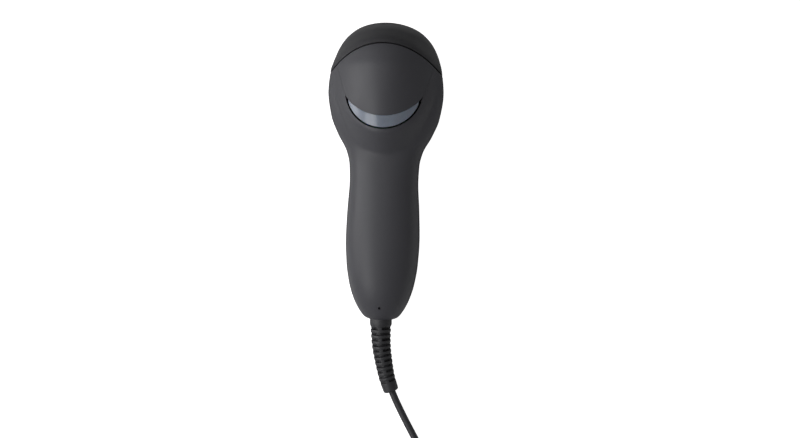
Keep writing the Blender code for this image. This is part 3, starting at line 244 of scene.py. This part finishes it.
def node(material, kind, links=(), inputs=(), **settings):
    """Adds a node, sets its properties and input values, and links (output, input) pairs into it."""
    made = material.node_tree.nodes.new(kind)
    for name, value in settings.items():
        setattr(made, name, value)
    for name, value in inputs:
        made.inputs[name].default_value = value
    for output, name in links:
        material.node_tree.links.new(output, made.inputs[name])
    return made


def principled(name, colour, roughness, **sockets):
    made = bpy.data.materials.get(name)
    if made:
        return made, None
    made = bpy.data.materials.new(name)
    made.use_nodes = True
    shader = made.node_tree.nodes["Principled BSDF"]
    shader.inputs["Base Color"].default_value = to_linear(colour)
    shader.inputs["Roughness"].default_value = roughness
    for socket, value in sockets.items():
        shader.inputs[socket.replace("_", " ")].default_value = value
    return made, shader


def grained(name, colour, roughness, grain, depth, mottle=0.06, **sockets):
    """A moulded or cast finish: fine bumps of a real size, with a faint drift of tone and gloss."""
    made, shader = principled(name, colour, roughness, **sockets)
    if shader is None:
        return made
    place = node(made, "ShaderNodeTexCoord").outputs["Object"]
    fine = node(made, "ShaderNodeTexNoise", [(place, "Vector")], [("Scale", 1 / grain), ("Detail", 3.0)])
    bump = node(made, "ShaderNodeBump", [(fine.outputs["Fac"], "Height")], [("Distance", depth), ("Strength", 0.6)])
    made.node_tree.links.new(bump.outputs["Normal"], shader.inputs["Normal"])
    drift = node(made, "ShaderNodeTexNoise", [(place, "Vector")], [("Scale", 90.0), ("Detail", 4.0)])
    tone = node(made, "ShaderNodeMapRange", [(drift.outputs["Fac"], "Value")], [("To Min", 1 - mottle), ("To Max", 1 + mottle)])
    base = to_linear(colour)
    mixed = node(
        made, "ShaderNodeVectorMath", [(tone.outputs["Result"], "Scale")], [(0, base[:3])], operation="SCALE"
    )
    made.node_tree.links.new(mixed.outputs["Vector"], shader.inputs["Base Color"])
    gloss = node(
        made, "ShaderNodeMapRange", [(drift.outputs["Fac"], "Value")],
        [("To Min", roughness - 0.05), ("To Max", roughness + 0.05)],
    )
    made.node_tree.links.new(gloss.outputs["Result"], shader.inputs["Roughness"])
    return made


def colours():
    return bpy.context.scene.scanner_colours


def housing_abs():
    """ABS moulded against a fine spark-eroded tool: a soft, even sheen over a barely visible grain."""
    grain = bpy.context.scene.scanner_sizes.texture_grain
    return grained("moulded_abs_charcoal", colours().housing, 0.47, grain, 0.02 * MM, 0.03)


def nose_tpe():
    """Soft elastomer overmoulded on the nose: darker and drier than the ABS."""
    return grained("overmoulded_tpe_nose", colours().nose, 0.5, 0.4 * MM, 0.02 * MM, 0.03)


def lead_pvc():
    """Extruded PVC sheath: smooth and slightly shiny."""
    return grained("extruded_pvc_lead", colours().lead, 0.42, 0.8 * MM, 0.01 * MM, 0.05)


def relief_pvc():
    """The softer PVC moulded round the lead as a strain relief."""
    return grained("moulded_pvc_relief", "39393c", 0.48, 0.5 * MM, 0.015 * MM, 0.05)


def status_polycarbonate():
    """Frosted clear polycarbonate over two lamps: a grey-blue body with a bright glossy skin."""
    return grained(
        "frosted_polycarbonate", colours().light_pipe, 0.3, 1.1 * MM, 0.05 * MM, 0.3, Coat_Weight=0.5,
        Coat_Roughness=0.12, Subsurface_Weight=0.1, Subsurface_Scale=0.002,
    )


def place_piece(name, work, material, body, stands_for=(), smooth_angle=32.0):
    """Turns a bmesh into a finished piece that rides on a body."""
    mesh = bpy.data.meshes.new(name)
    work.to_mesh(mesh)
    work.free()
    piece = bpy.data.objects.new(name, mesh)
    bpy.context.scene.collection.objects.link(piece)
    mesh.materials.append(material)
    mesh.shade_smooth()
    mesh.set_sharp_from_angle(angle=math.radians(smooth_angle))
    if body:
        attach(piece, body)
    if stands_for:
        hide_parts(*stands_for)
    return piece


def shaped_grid(points, wrap_columns=False, wrap_rows=False):
    """A bmesh grid laid on an array of points (rows, columns, 3), with its doubled edges merged."""
    rows, columns, _ = points.shape
    work = bmesh.new()
    bmesh.ops.create_grid(work, x_segments=columns - 1, y_segments=rows - 1, size=1.0)
    work.verts.ensure_lookup_table()
    for vert in work.verts:
        column = round((vert.co.x + 1) / 2 * (columns - 1))
        row = round((vert.co.y + 1) / 2 * (rows - 1))
        vert.co = points[row, column]
    if wrap_columns or wrap_rows:
        bmesh.ops.remove_doubles(work, verts=work.verts, dist=1e-7)
    bmesh.ops.recalc_face_normals(work, faces=work.faces)
    return work


def wall_in(work, thickness):
    """Gives an open skin its wall, on the side that doesn't widen or raise it."""
    sheet = helper("skin", work, keep_normals=True)
    made = []
    for side in (-1.0, 1.0):
        sheet.modifiers.clear()
        wall = sheet.modifiers.new("Wall", "SOLIDIFY")
        wall.thickness = thickness
        wall.offset = side
        graph = bpy.context.evaluated_depsgraph_get()
        mesh = bpy.data.meshes.new_from_object(sheet.evaluated_get(graph))
        corners = np.array([vert.co for vert in mesh.vertices])
        made.append((float(np.ptp(corners[:, 0]) + np.ptp(corners[:, 1])), side, mesh))
    walled = bmesh.new()
    walled.from_mesh(min(made, key=lambda entry: entry[0])[2])
    bpy.data.objects.remove(sheet)
    for _, _, mesh in made:
        bpy.data.meshes.remove(mesh)
    bmesh.ops.recalc_face_normals(walled, faces=walled.faces)
    return walled


def trim_front(work, plane):
    """Cuts away what lies in front of a leaning plane and closes the cut."""
    made = bmesh.ops.bisect_plane(
        work, geom=[*work.verts, *work.edges, *work.faces], dist=1e-7, plane_co=(0, plane, 0),
        plane_no=(0, 1, -LEAN), clear_outer=True,
    )
    edges = [e for e in made["geom_cut"] if isinstance(e, bmesh.types.BMEdge)]
    bmesh.ops.edgenet_fill(work, edges=edges)
    bmesh.ops.triangulate(work, faces=[f for f in work.faces if len(f.verts) > 4])


def helper(name, work, keep_normals=False):
    """A cutter, as a new object in the scene."""
    mesh = bpy.data.meshes.new(name)
    if not keep_normals:
        bmesh.ops.recalc_face_normals(work, faces=work.faces)
    work.to_mesh(mesh)
    work.free()
    cutter = bpy.data.objects.new(name, mesh)
    bpy.context.scene.collection.objects.link(cutter)
    return cutter


def plan_prism(outline, low, high):
    """An outline in plan, extruded upwards."""
    work = bmesh.new()
    face = work.faces.new([work.verts.new((x, y, low)) for x, y in outline])
    lifted = bmesh.ops.extrude_face_region(work, geom=[face])["geom"]
    bmesh.ops.translate(work, vec=(0, 0, high - low), verts=[v for v in lifted if isinstance(v, bmesh.types.BMVert)])
    return work


def apply_modifiers(piece):
    """Bakes a piece's modifiers into its mesh."""
    graph = bpy.context.evaluated_depsgraph_get()
    mesh = bpy.data.meshes.new_from_object(piece.evaluated_get(graph))
    old = piece.data
    piece.modifiers.clear()
    piece.data = mesh
    bpy.data.meshes.remove(old)


def carve(piece, cutters, operation="DIFFERENCE"):
    """Runs cutters through a piece, bakes the result and removes the cutters."""
    for cutter in cutters:
        step = piece.modifiers.new("Carve", "BOOLEAN")
        step.operation = operation
        step.object = cutter
        step.solver = "EXACT"
    apply_modifiers(piece)
    for cutter in cutters:
        bpy.data.objects.remove(cutter)
    piece.data.shade_smooth()
    piece.data.set_sharp_from_angle(angle=math.radians(32))


def arc(centre_y, radius, start, end, count):
    angles = np.radians(np.linspace(start, end, count))
    return [(radius * math.cos(a), centre_y + radius * math.sin(a)) for a in angles]


# The light pipe's two arcs and the button's sides, in plan.
PIPE_REAR_Y, PIPE_REAR_RADIUS = NOSE - 37.8 * MM, 20.7 * MM
PIPE_FRONT_Y, PIPE_FRONT_RADIUS = NOSE - 25.9 * MM, 26.2 * MM
PIPE_HALF = 19.3 * MM


def button_plan(margin):
    """The opening round the button and the light pipe, brought in by a margin."""
    radius = PIPE_REAR_RADIUS + JOINT - margin
    rear = arc(PIPE_REAR_Y, radius, -90 - 78, -90 + 78, 90)
    tip_x, tip_y = rear[-1]
    front = NOSE + 5 * MM
    side = [(25.1 * MM, RIM - 17 * MM), (27.4 * MM, RIM - 11 * MM), (28.2 * MM, front)]
    side = [(x - margin, y) for x, y in side]
    return [*rear, *side, *[(-x, y) for x, y in reversed(side)]]


def crescent_plan(front_radius, half):
    rear_tip = math.degrees(math.asin(half / PIPE_REAR_RADIUS))
    front_tip = math.degrees(math.asin(half / front_radius))
    rear = arc(PIPE_REAR_Y, PIPE_REAR_RADIUS - 0.2 * MM, -90 - rear_tip, -90 + rear_tip, 90)
    return rear + arc(PIPE_FRONT_Y, front_radius, -90 + front_tip, -90 - front_tip, 90)


# ---------------------------------------------------------------- operators


class SCANNER_OT_stage(bpy.types.Operator):
    """Pale floor, soft studio lamps and the camera above the scanner"""

    bl_idname = "scanner.stage"
    bl_label = "Stage"

    def execute(self, context):
        scene = context.scene
        scene.view_settings.view_transform = "Standard"
        middle = Vector((9.75, -25.4, 20.0)) * MM
        tilt, nod, roll = math.radians(4.5), math.radians(-0.53), math.radians(-1.99)
        back = Vector((math.sin(tilt) * math.cos(nod), -math.sin(nod), math.cos(tilt) * math.cos(nod)))
        right = Vector((math.sin(roll), math.cos(roll), 0)).cross(back).normalized()
        turn = Matrix((right, back.cross(right), back)).transposed().to_4x4()
        lens = bpy.data.cameras.new("camera")
        lens.sensor_width = 36.0
        lens.lens = 64.5
        lens.clip_start = 0.01
        camera = bpy.data.objects.new("camera", lens)
        camera.matrix_world = Matrix.Translation(middle + back * 0.8) @ turn
        scene.collection.objects.link(camera)
        scene.camera = camera
        self.lamp(context, "window_left", (-0.75, 0.10, 0.75), 0.7, 2.3, (0, 0, 0.02))
        self.lamp(context, "window_rear", (-0.60, -0.50, 0.80), 0.6, 2.7, (0, 0, 0.02))
        self.lamp(context, "low_left", (-1.00, 0.00, 0.35), 0.5, 2.4, (0, 0, 0.02))
        self.lamp(context, "overhead", (-0.10, 0.25, 1.30), 0.9, 1.1, (0, 0, 0.02))
        world = bpy.data.worlds.new("studio")
        world.use_nodes = True
        scene.world = world
        world.node_tree.nodes["Background"].inputs["Color"].default_value = (1, 1, 1, 1)
        world.node_tree.nodes["Background"].inputs["Strength"].default_value = 0.15
        self.floor(context)
        return {"FINISHED"}

    def lamp(self, context, name, place, size, power, target):
        data = bpy.data.lights.new(name, "AREA")
        data.shape = "DISK"
        data.size = size
        data.energy = power
        lamp = bpy.data.objects.new(name, data)
        lamp.location = place
        lamp.rotation_euler = (Vector(place) - Vector(target)).to_track_quat("Z", "Y").to_euler()
        context.scene.collection.objects.link(lamp)

    def floor(self, context):
        work = bmesh.new()
        bmesh.ops.create_grid(work, x_segments=1, y_segments=1, size=2.5)
        mesh = bpy.data.meshes.new("floor")
        work.to_mesh(mesh)
        work.free()
        floor = bpy.data.objects.new("floor", mesh)
        context.scene.collection.objects.link(floor)
        paper = bpy.data.materials.new("white_paper")
        paper.use_nodes = True
        tree = paper.node_tree
        tree.nodes.clear()
        path = node(paper, "ShaderNodeLightPath")
        seen = node(
            paper, "ShaderNodeMath", [(path.outputs["Is Camera Ray"], 0), (path.outputs["Is Transmission Ray"], 1)],
            operation="MAXIMUM",
        )
        matt = node(paper, "ShaderNodeBsdfDiffuse", inputs=[("Color", to_linear("e8e8e8"))])
        glow = node(paper, "ShaderNodeEmission", [(seen.outputs[0], "Strength")])
        both = node(paper, "ShaderNodeAddShader", [(matt.outputs[0], 0), (glow.outputs[0], 1)])
        node(paper, "ShaderNodeOutputMaterial", [(both.outputs[0], "Surface")])
        mesh.materials.append(paper)


class SCANNER_OT_covers(bpy.types.Operator):
    """The top and bottom covers of the housing, as thin moulded shells"""

    bl_idname = "scanner.covers"
    bl_label = "Covers"

    def execute(self, context):
        along = np.concatenate([
            REAR + np.array([0, 0.15, 0.4, 0.7, 1.1, 1.7, 2.5, 3.4, 4.5, 6]) * MM,
            stations(REAR + 7.5 * MM, REAR + 84 * MM, 1.6 * MM),
            stations(REAR + 85 * MM, SEAM + 2.4 * MM, 0.5 * MM),
        ])
        self.cover(context, "cover_top", along, np.linspace(0, math.pi, 121), 0.0, "top_cover")
        self.cover(context, "cover_bottom", along, np.linspace(math.pi, 2 * math.pi, 73), -0.35 * MM, "bottom_cover")
        return {"FINISHED"}

    def cover(self, context, name, along, around, lift, stands_for):
        points = skin(along[:, None], around[None, :])
        points[:, [0, -1], 2] += lift
        if stands_for == "bottom_cover":  # its rim stands a little proud of the top cover's
            rise = points[..., 2] / np.maximum(parting_height(along)[:, None], 1 * MM)
            points[..., 0] += 0.45 * MM * np.sign(np.cos(around)) * np.clip(rise, 0, 1) ** 3 * np.clip(
                (along[:, None] - REAR) / (12 * MM), 0, 1
            ) * np.clip((SEAM - along[:, None]) / (12 * MM), 0, 1)
        work = wall_in(shaped_grid(points), WALL)
        trim_front(work, SEAM_PLANE)
        piece = place_piece(name, work, housing_abs(), "housing", [stands_for])
        cutters = []
        if stands_for == "top_cover":
            cutters.append(helper("opening", plan_prism(button_plan(0.0), LOW, HIGH)))
            cutters.append(self.drill(0.75 * MM, 30 * MM, (0, REAR + 6.9 * MM, 30 * MM)))
        else:
            for screw in ("left", "right", "rear"):
                low, high = (Vector(corner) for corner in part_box(f"housing_screw_{screw}"))
                x, y = (low.x + high.x) / 2, (low.y + high.y) / 2
                cutters.append(self.drill(2.5 * MM, 2 * (low.z + 1.5 * MM), (x, y, 0)))
            beeper = (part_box("beeper")[0][1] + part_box("beeper")[1][1]) / 2
            for i in (-1, 0, 1):
                slot = bmesh.new()
                bmesh.ops.create_cube(slot, size=1.0)
                bmesh.ops.scale(slot, vec=(9 * MM, 1 * MM, 8 * MM), verts=slot.verts)
                bmesh.ops.translate(slot, vec=(0, beeper + i * 2.7 * MM, 2 * MM), verts=slot.verts)
                cutters.append(helper("sound_slot", slot))
        carve(piece, cutters)

    def drill(self, radius, depth, centre):
        work = bmesh.new()
        bmesh.ops.create_cone(work, cap_ends=True, segments=40, radius1=radius, radius2=radius, depth=depth)
        bmesh.ops.translate(work, vec=centre, verts=work.verts)
        return helper("drill", work)


class SCANNER_OT_nose(bpy.types.Operator):
    """The soft nose bezel, with the recessed seat for its window"""

    bl_idname = "scanner.nose"
    bl_label = "Nose"

    def execute(self, context):
        start = SEAM_PLANE + JOINT * LEAN_LENGTH
        around = np.linspace(0, 2 * math.pi, 181)
        front = float(leaning_plane(RIM))
        outer = [ring_on(plane, around) for plane in np.linspace(start, front, 30)]
        rim = outer[-1]
        lip, seat, ledge = 2.2 * MM, 6.4 * MM, 2.8 * MM
        rings = [self.inset(outer[0], 3.0 * MM, 2.6 * MM), self.inset(outer[0], 0.25 * MM, 0.1 * MM)]
        rings += [ring_on(start + 0.25 * MM, around), *outer[1:-1]]
        for turn in np.radians([15, 35, 55, 75, 90]):
            round_off = 0.9 * MM
            rings.append(self.inset(rim, round_off * (1 - math.cos(turn)), round_off * (math.sin(turn) - 1)))
        for turn in np.radians([20, 45, 70, 90]):
            rings.append(self.inset(rim, lip - 0.7 * MM * (1 - math.sin(turn)), -0.7 * MM * (1 - math.cos(turn))))
        rings += [self.inset(rim, lip, -seat), self.inset(rim, lip + ledge, -seat), self.inset(rim, lip + ledge, -seat - 1.4 * MM)]
        behind = front - (seat + 1.4 * MM) * LEAN_LENGTH
        rings += [self.inset(ring_on(plane, around), 4.2 * MM) for plane in (behind, start, start - 2.2 * MM)]
        rings += [self.inset(ring_on(plane, around), 3.0 * MM) for plane in (start - 2.2 * MM, start)]
        rings.append(rings[0])
        work = shaped_grid(np.array(rings), wrap_columns=True, wrap_rows=True)
        place_piece("bezel", work, nose_tpe(), "housing", ["nose_bezel"], 40)
        return {"FINISHED"}

    def inset(self, ring, amount, forward=0.0):
        """A section brought in within its leaning plane, and moved along the plane's normal."""
        stretched = np.stack([ring[:, 0], ring[:, 2] * LEAN_LENGTH], axis=-1)[:-1]
        along = np.roll(stretched, -1, axis=0) - np.roll(stretched, 1, axis=0)
        inward = np.stack([-along[:, 1], along[:, 0]], axis=-1)
        inward /= np.linalg.norm(inward, axis=1, keepdims=True)
        inward = np.vstack([inward, inward[:1]]) * amount
        rise = inward[:, 1] / LEAN_LENGTH
        shift = np.array([0, 1, -LEAN]) / LEAN_LENGTH * forward
        return ring + np.stack([inward[:, 0], LEAN * rise, rise], axis=-1) + shift


class SCANNER_OT_button(bpy.types.Operator):
    """The domed pad on the head that starts a scan"""

    bl_idname = "scanner.button"
    bl_label = "Button"

    def execute(self, context):
        sizes = context.scene.scanner_sizes
        along = stations(REAR + 98 * MM, SEAM + 2.4 * MM, 0.5 * MM)
        around = np.linspace(0.12 * math.pi, 0.88 * math.pi, 111)
        work = wall_in(shaped_grid(skin(along[:, None], around[None, :])), WALL)
        trim_front(work, SEAM_PLANE)
        piece = place_piece("button_pad", work, housing_abs(), "button", ["scan_button"])
        carve(piece, [helper("plan", plan_prism(button_plan(sizes.button_gap), LOW, HIGH))], "INTERSECT")
        behind = arc(PIPE_FRONT_Y, PIPE_FRONT_RADIUS - 0.12 * MM, -168, -12, 120)
        behind += [(40 * MM, REAR + 60 * MM), (-40 * MM, REAR + 60 * MM)]
        carve(piece, [helper("behind", plan_prism(behind, LOW, HIGH))])
        return {"FINISHED"}


class SCANNER_OT_light_pipe(bpy.types.Operator):
    """The crescent that shows the scanner's state"""

    bl_idname = "scanner.light_pipe"
    bl_label = "Light Pipe"

    def execute(self, context):
        along = stations(REAR + 98 * MM, SEAM - 8 * MM, 0.5 * MM)
        around = np.linspace(0.16 * math.pi, 0.84 * math.pi, 111)
        work = wall_in(shaped_grid(skin(along[:, None], around[None, :])), 3.4 * MM)
        piece = place_piece("light_pipe", work, status_polycarbonate(), "button", ["status_light_pipe"])
        carve(piece, [helper("crescent", plan_prism(crescent_plan(PIPE_FRONT_RADIUS, PIPE_HALF), LOW, HIGH))], "INTERSECT")
        return {"FINISHED"}


def eased(share):
    """0 to 1 with level ends."""
    share = min(max(share, 0.0), 1.0)
    return share * share * (3 - 2 * share)


def lead_route():
    """The lead's centre line in metres: from the strain relief, round the coil and on to the plug."""
    behind = np.array([118.5, 122.4, 126.7, 130.5, 134.4, 138.8, 147.7, 157.5, 163.0, 168.0, 172.8, 177.5]) * MM
    x = smooth_curve([(82.5, 0), (93.6, 0.4), (99.1, 0.9), (104.6, 1.8), (110.1, 2.9), (115.6, 4.2), (121.2, 6.1),
                      (126.7, 8.2), (130.5, 10.1), (134.4, 12.2), (138.8, 14.7), (147.7, 19.2), (157.5, 25.0),
                      (167.0, 31.6), (178.0, 37.4)], start=0.0)
    z = smooth_curve([(82.5, 9), (92, 8.6), (105, 7.0), (121.2, 4.7), (130, 3.2), (140, 2.3), (152, 2.15), (178, 2.15)], start=0.0)
    first = np.stack([x(behind), -behind, z(behind)], axis=-1)
    low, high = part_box("cord_coil")
    centre = np.array([(low[0] + high[0]) / 2, (low[1] + high[1]) / 2])
    pitch = bpy.context.scene.cord_sizes.pitch
    mid = 23.0 * MM
    outward, inward = [1.5, 0.5, -0.5, -1.5], [-1, 0, 1]
    slots = []
    for layer in range(4):
        height = (2.75 + 3.62 * layer) * MM
        slots += [(mid + k * pitch, height) for k in (outward if layer % 2 == 0 else inward)]
    slots.append((slots[-1][0], slots[-1][1]))
    start, per_turn = 8.0, 40
    turns = 13 + (start + 78) / 360
    count = int(turns * per_turn)
    coil = []
    for i in range(count + 1):
        turned = i / per_turn
        k = int(min(turned, len(slots) - 2))
        share = eased((turned - k - 0.82) / 0.18)
        radius = slots[k][0] * (1 - share) + slots[k + 1][0] * share
        height = slots[k][1] * (1 - share) + slots[k + 1][1] * share
        lead_in = max(0.0, 1 - turned / 0.14)
        radius += 3.9 * MM * lead_in ** 1.5
        height -= 0.6 * MM * lead_in
        lead_out = max(0.0, 1 - (turns - turned) / 0.3)
        radius += (34.9 * MM - slots[-1][0]) * eased(1.8 * lead_out)
        height += (3.4 * MM - slots[-1][1]) * eased((lead_out - 0.25) / 0.75)
        angle = math.radians(start) - 2 * math.pi * turned
        coil.append([centre[0] + radius * math.cos(angle), centre[1] + radius * math.sin(angle), height])
    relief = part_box("usb_strain_relief")
    end_x, end_y, end_z = relief[1][0], (relief[0][1] + relief[1][1]) / 2, (relief[0][2] + relief[1][2]) / 2
    tail = [
        [centre[0] + 3.5 * MM, end_y + 0.7 * MM, 3.5 * MM], [centre[0] - 1 * MM, end_y + 0.2 * MM, 3.7 * MM],
        [end_x + 4 * MM, end_y, end_z - 0.2 * MM], [end_x, end_y, end_z], [end_x - 2 * MM, end_y, end_z],
    ]
    return np.vstack([first, coil, tail])


def fair(points, gap):
    """The points smoothed a little and read again at an even spacing."""
    for _ in range(6):
        points = np.vstack([points[:1], (points[:-2] + 2 * points[1:-1] + points[2:]) / 4, points[-1:]])
    runs = np.concatenate([[0], np.cumsum(np.linalg.norm(np.diff(points, axis=0), axis=1))])
    at = np.linspace(0, runs[-1], int(runs[-1] / gap) + 1)
    return np.stack([np.interp(at, runs, points[:, i]) for i in range(3)], axis=-1), float(runs[-1])


class SCANNER_OT_lead(bpy.types.Operator):
    """The lead: out of the strain relief, wound into its coil and on to the plug"""

    bl_idname = "scanner.lead"
    bl_label = "Lead"

    def execute(self, context):
        sizes = context.scene.cord_sizes
        points, length = fair(lead_route(), 3.4 * MM)
        data = bpy.data.curves.new("lead", "CURVE")
        data.dimensions = "3D"
        data.bevel_depth = sizes.diameter / 2
        data.bevel_resolution = 5
        data.use_fill_caps = True
        line = data.splines.new("POLY")
        line.points.add(len(points) - 1)
        for point, place in zip(line.points, points):
            point.co = (*place, 1.0)
        line.use_smooth = True
        data.materials.append(lead_pvc())
        lead = bpy.data.objects.new("lead", data)
        context.scene.collection.objects.link(lead)
        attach(lead, "housing")
        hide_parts("cord_free", "cord_coil", "cord_tail")
        pieces = [frame["nodes"][name] for name in ("usb_strain_relief", "usb_overmould", "usb_shell", "usb_tongue")]
        pieces += [bpy.data.objects["strain_relief_ribbed"], bpy.data.objects["coil_strap"]]
        print("lead length", round(length, 3))
        return {"FINISHED"}


class SCANNER_OT_relief(bpy.types.Operator):
    """The ribbed strain relief and the strap round the coil"""

    bl_idname = "scanner.relief"
    bl_label = "Strain Relief and Strap"

    def execute(self, context):
        self.relief()
        self.strap()
        return {"FINISHED"}

    def relief(self):
        behind = np.linspace(78.9, 127.0, 900) * MM
        x = smooth_curve([(78, 0), (82.5, 0), (93.6, 0.4), (99.1, 0.9), (104.6, 1.8), (110.1, 2.9), (115.6, 4.2),
                          (121.2, 6.1), (126.7, 8.2), (130.5, 10.1)], start=0.0)
        z = smooth_curve([(78, 9), (82.5, 9), (92, 8.6), (105, 7.0), (121.2, 4.7), (130, 3.2)], start=0.0)
        line = np.stack([x(behind), -behind, z(behind)], axis=-1)
        runs = np.concatenate([[0], np.cumsum(np.linalg.norm(np.diff(line, axis=0), axis=1))])
        runs -= float(np.interp(82.5 * MM, behind, runs))
        collar, pitch, slot, length, count = 3.5, 3.06, 1.5, 42.0, 11
        at = [-3.4, -3.4, 0.0, 0.4, collar - 0.5, collar - 0.3, collar - 0.1, collar, collar]
        for i in range(count):
            start = collar + 0.7 + i * pitch
            at += [start - 0.16, start - 0.08, start - 0.02, start, start + 0.02, start + 0.3, start + 0.7,
                   start + slot - 0.3, start + slot - 0.02, start + slot, start + slot + 0.02, start + slot + 0.08,
                   start + slot + 0.16, start + slot + 0.85]
        at += [length - 1.2, length - 0.5, length - 0.2, length, length]
        sides = 96
        angles = np.linspace(0, 2 * math.pi, sides + 1)
        rings = []
        for i, s in enumerate(at):
            s *= MM
            centre = np.array([np.interp(s, runs, line[:, k]) for k in range(3)])
            ahead = np.array([np.interp(s + 0.3 * MM, runs, line[:, k]) for k in range(3)]) - centre
            if s >= (length - 0.4) * MM:
                ahead = centre - np.array([np.interp(s - 0.3 * MM, runs, line[:, k]) for k in range(3)])
            ahead /= np.linalg.norm(ahead)
            side = np.cross(ahead, [0, 0, 1])
            side /= np.linalg.norm(side)
            up = np.cross(side, ahead)
            radius = self.radius(s / MM, angles, collar, pitch, slot, length, count) * MM
            if i in (0, len(at) - 1):
                radius = np.zeros_like(angles)
            if i == 8:
                radius = self.radius(collar + 0.01, angles, collar, pitch, slot, length, count) * MM
            rings.append(centre + radius[:, None] * (np.cos(angles)[:, None] * side + np.sin(angles)[:, None] * up))
        work = shaped_grid(np.array(rings), wrap_columns=True)
        place_piece("strain_relief_ribbed", work, relief_pvc(), "housing", ["strain_relief"], 38)

    def radius(self, s, angles, collar, pitch, slot, length, count):
        """Radius in mm round the relief at s mm outside the housing."""
        if s <= collar:
            edge = min(max((s - (collar - 0.5)) / 0.5, 0), 1)
            return np.full_like(angles, 6.2 - 0.35 * edge ** 2)
        share = (s - collar) / (length - collar)
        radius = np.full_like(angles, 5.85 - 1.55 * share)
        if s > length - 0.6:
            radius -= 0.5 * ((s - (length - 0.6)) / 0.6) ** 2
        index, within = divmod(s - collar - 0.7 + 1e-6, pitch)
        if 0 <= index < count and 0 <= within <= slot + 2e-6:
            depth = np.clip((np.abs(np.sin(angles)) - 0.14) / 0.08, 0.12, 1)
            if index % 2 == 0:
                depth = depth * np.clip((np.abs(np.cos(angles)) - 0.2) / 0.06, 0, 1)
            radius = radius * (1 - depth) + 2.9 * depth
        else:
            near = min(abs(within - slot), abs(pitch - within))
            if -1 <= index < count and near < 0.17:
                radius -= 0.12 * (1 - near / 0.17) ** 2
        return radius

    def strap(self):
        """A flat strap round the coil's section."""
        low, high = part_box("cord_coil")
        centre_x, centre_y = (low[0] + high[0]) / 2 - 23 * MM, (low[1] + high[1]) / 2
        turn = np.linspace(0, 2 * math.pi, 97)
        rings = []
        for grow, half in ((0, -2.0), (0, 2.0), (0.55, 2.0), (0.55, -2.0), (0, -2.0)):
            cos, sin = np.cos(turn), np.sin(turn)
            x = centre_x + (8.75 + grow) * MM * np.sign(cos) * np.abs(cos) ** 0.33
            z = 8.2 * MM + (7.55 + grow) * MM * np.sign(sin) * np.abs(sin) ** 0.33
            rings.append(np.stack([x, np.full_like(x, centre_y + half * MM), z], axis=-1))
        work = shaped_grid(np.array(rings), wrap_columns=True, wrap_rows=True)
        place_piece("coil_strap", work, grained("woven_hook_strap", "2b2b2e", 0.8, 0.5 * MM, 0.1 * MM, 0.1), "housing", ["coil_tie"])


class SCANNER_OT_finishes(bpy.types.Operator):
    """Finishes for the pieces that keep the CAD model's own shape"""

    bl_idname = "scanner.finishes"
    bl_label = "Finishes of Inner Pieces"

    def execute(self, context):
        slots = {entry["node"]: entry["material_slot"] for entry in frame["record"]["subparts"]}
        made = {
            "red_acrylic": principled("cast_red_acrylic", "a3161c", 0.06, IOR=1.49, Coat_Weight=0.4)[0],
            "clear_polycarbonate": grained("moulded_clear_polycarbonate", "b9c0ca", 0.15, 1.0 * MM, 0.005 * MM, 0.05),
            "cord_pvc": lead_pvc(),
            "circuit_board": grained("green_solder_mask", "1d5a3a", 0.35, 0.6 * MM, 0.02 * MM, 0.2),
            "chip_epoxy": grained("moulded_epoxy", "232325", 0.5, 0.25 * MM, 0.01 * MM, 0.1),
            "plated_steel": grained("zinc_plated_steel", "c4c6c8", 0.3, 0.5 * MM, 0.005 * MM, 0.08, Metallic=1.0),
            "brass": grained("turned_brass", "c9a45a", 0.28, 0.3 * MM, 0.005 * MM, 0.08, Metallic=1.0),
            "copper_wire": grained("enamelled_copper", "b5622c", 0.3, 0.3 * MM, 0.03 * MM, 0.15, Metallic=1.0),
            "die_cast_zinc": grained("die_cast_zinc", "9da0a3", 0.48, 0.5 * MM, 0.02 * MM, 0.08, Metallic=1.0),
            "silvered_mirror": principled("silvered_glass", "e9ecef", 0.03, Metallic=1.0)[0],
            "black_rubber": grained("cut_foam_rubber", "202022", 0.85, 0.4 * MM, 0.05 * MM, 0.1),
            "white_nylon": grained("moulded_nylon", "d9d8d0", 0.45, 0.5 * MM, 0.01 * MM, 0.05),
            "blue_led_epoxy": principled("tinted_led_epoxy", "2f56c4", 0.12, IOR=1.5, Coat_Weight=0.3)[0],
            "charcoal_abs": housing_abs(),
            "nose_elastomer": nose_tpe(),
        }
        for name, body in frame["nodes"].items():
            for slot in body.material_slots:
                slot.material = made[slots[name]]
        return {"FINISHED"}


class SCANNER_PT_panel(bpy.types.Panel):
    bl_label = "Handheld Barcode Scanner"
    bl_idname = "SCANNER_PT_panel"
    bl_space_type = "VIEW_3D"
    bl_region_type = "UI"
    bl_category = "Scanner"

    def draw(self, context):
        layout = self.layout
        for group in (context.scene.scanner_sizes, context.scene.cord_sizes, context.scene.scanner_colours):
            for name in group.__annotations__:
                layout.prop(group, name)
        for step in STEPS:
            layout.operator(step.bl_idname)


STEPS = (
    SCANNER_OT_stage,
    SCANNER_OT_finishes,
    SCANNER_OT_relief,
    SCANNER_OT_lead,
    SCANNER_OT_covers,
    SCANNER_OT_nose,
    SCANNER_OT_button,
    SCANNER_OT_light_pipe,
)
GROUPS = {"scanner_sizes": ScannerSizes, "cord_sizes": CordSizes, "scanner_colours": ScannerColours}


def register():
    for cls in (*GROUPS.values(), *STEPS, SCANNER_PT_panel):
        bpy.utils.register_class(cls)
    for name, cls in GROUPS.items():
        setattr(bpy.types.Scene, name, bpy.props.PointerProperty(type=cls))


def unregister():
    for name in GROUPS:
        delattr(bpy.types.Scene, name)
    for cls in (SCANNER_PT_panel, *reversed(STEPS), *GROUPS.values()):
        bpy.utils.unregister_class(cls)


def main():
    register()
    for step in STEPS:
        getattr(bpy.ops.scanner, step.bl_idname.split(".")[1])()


if __name__ == "__main__":
    main()
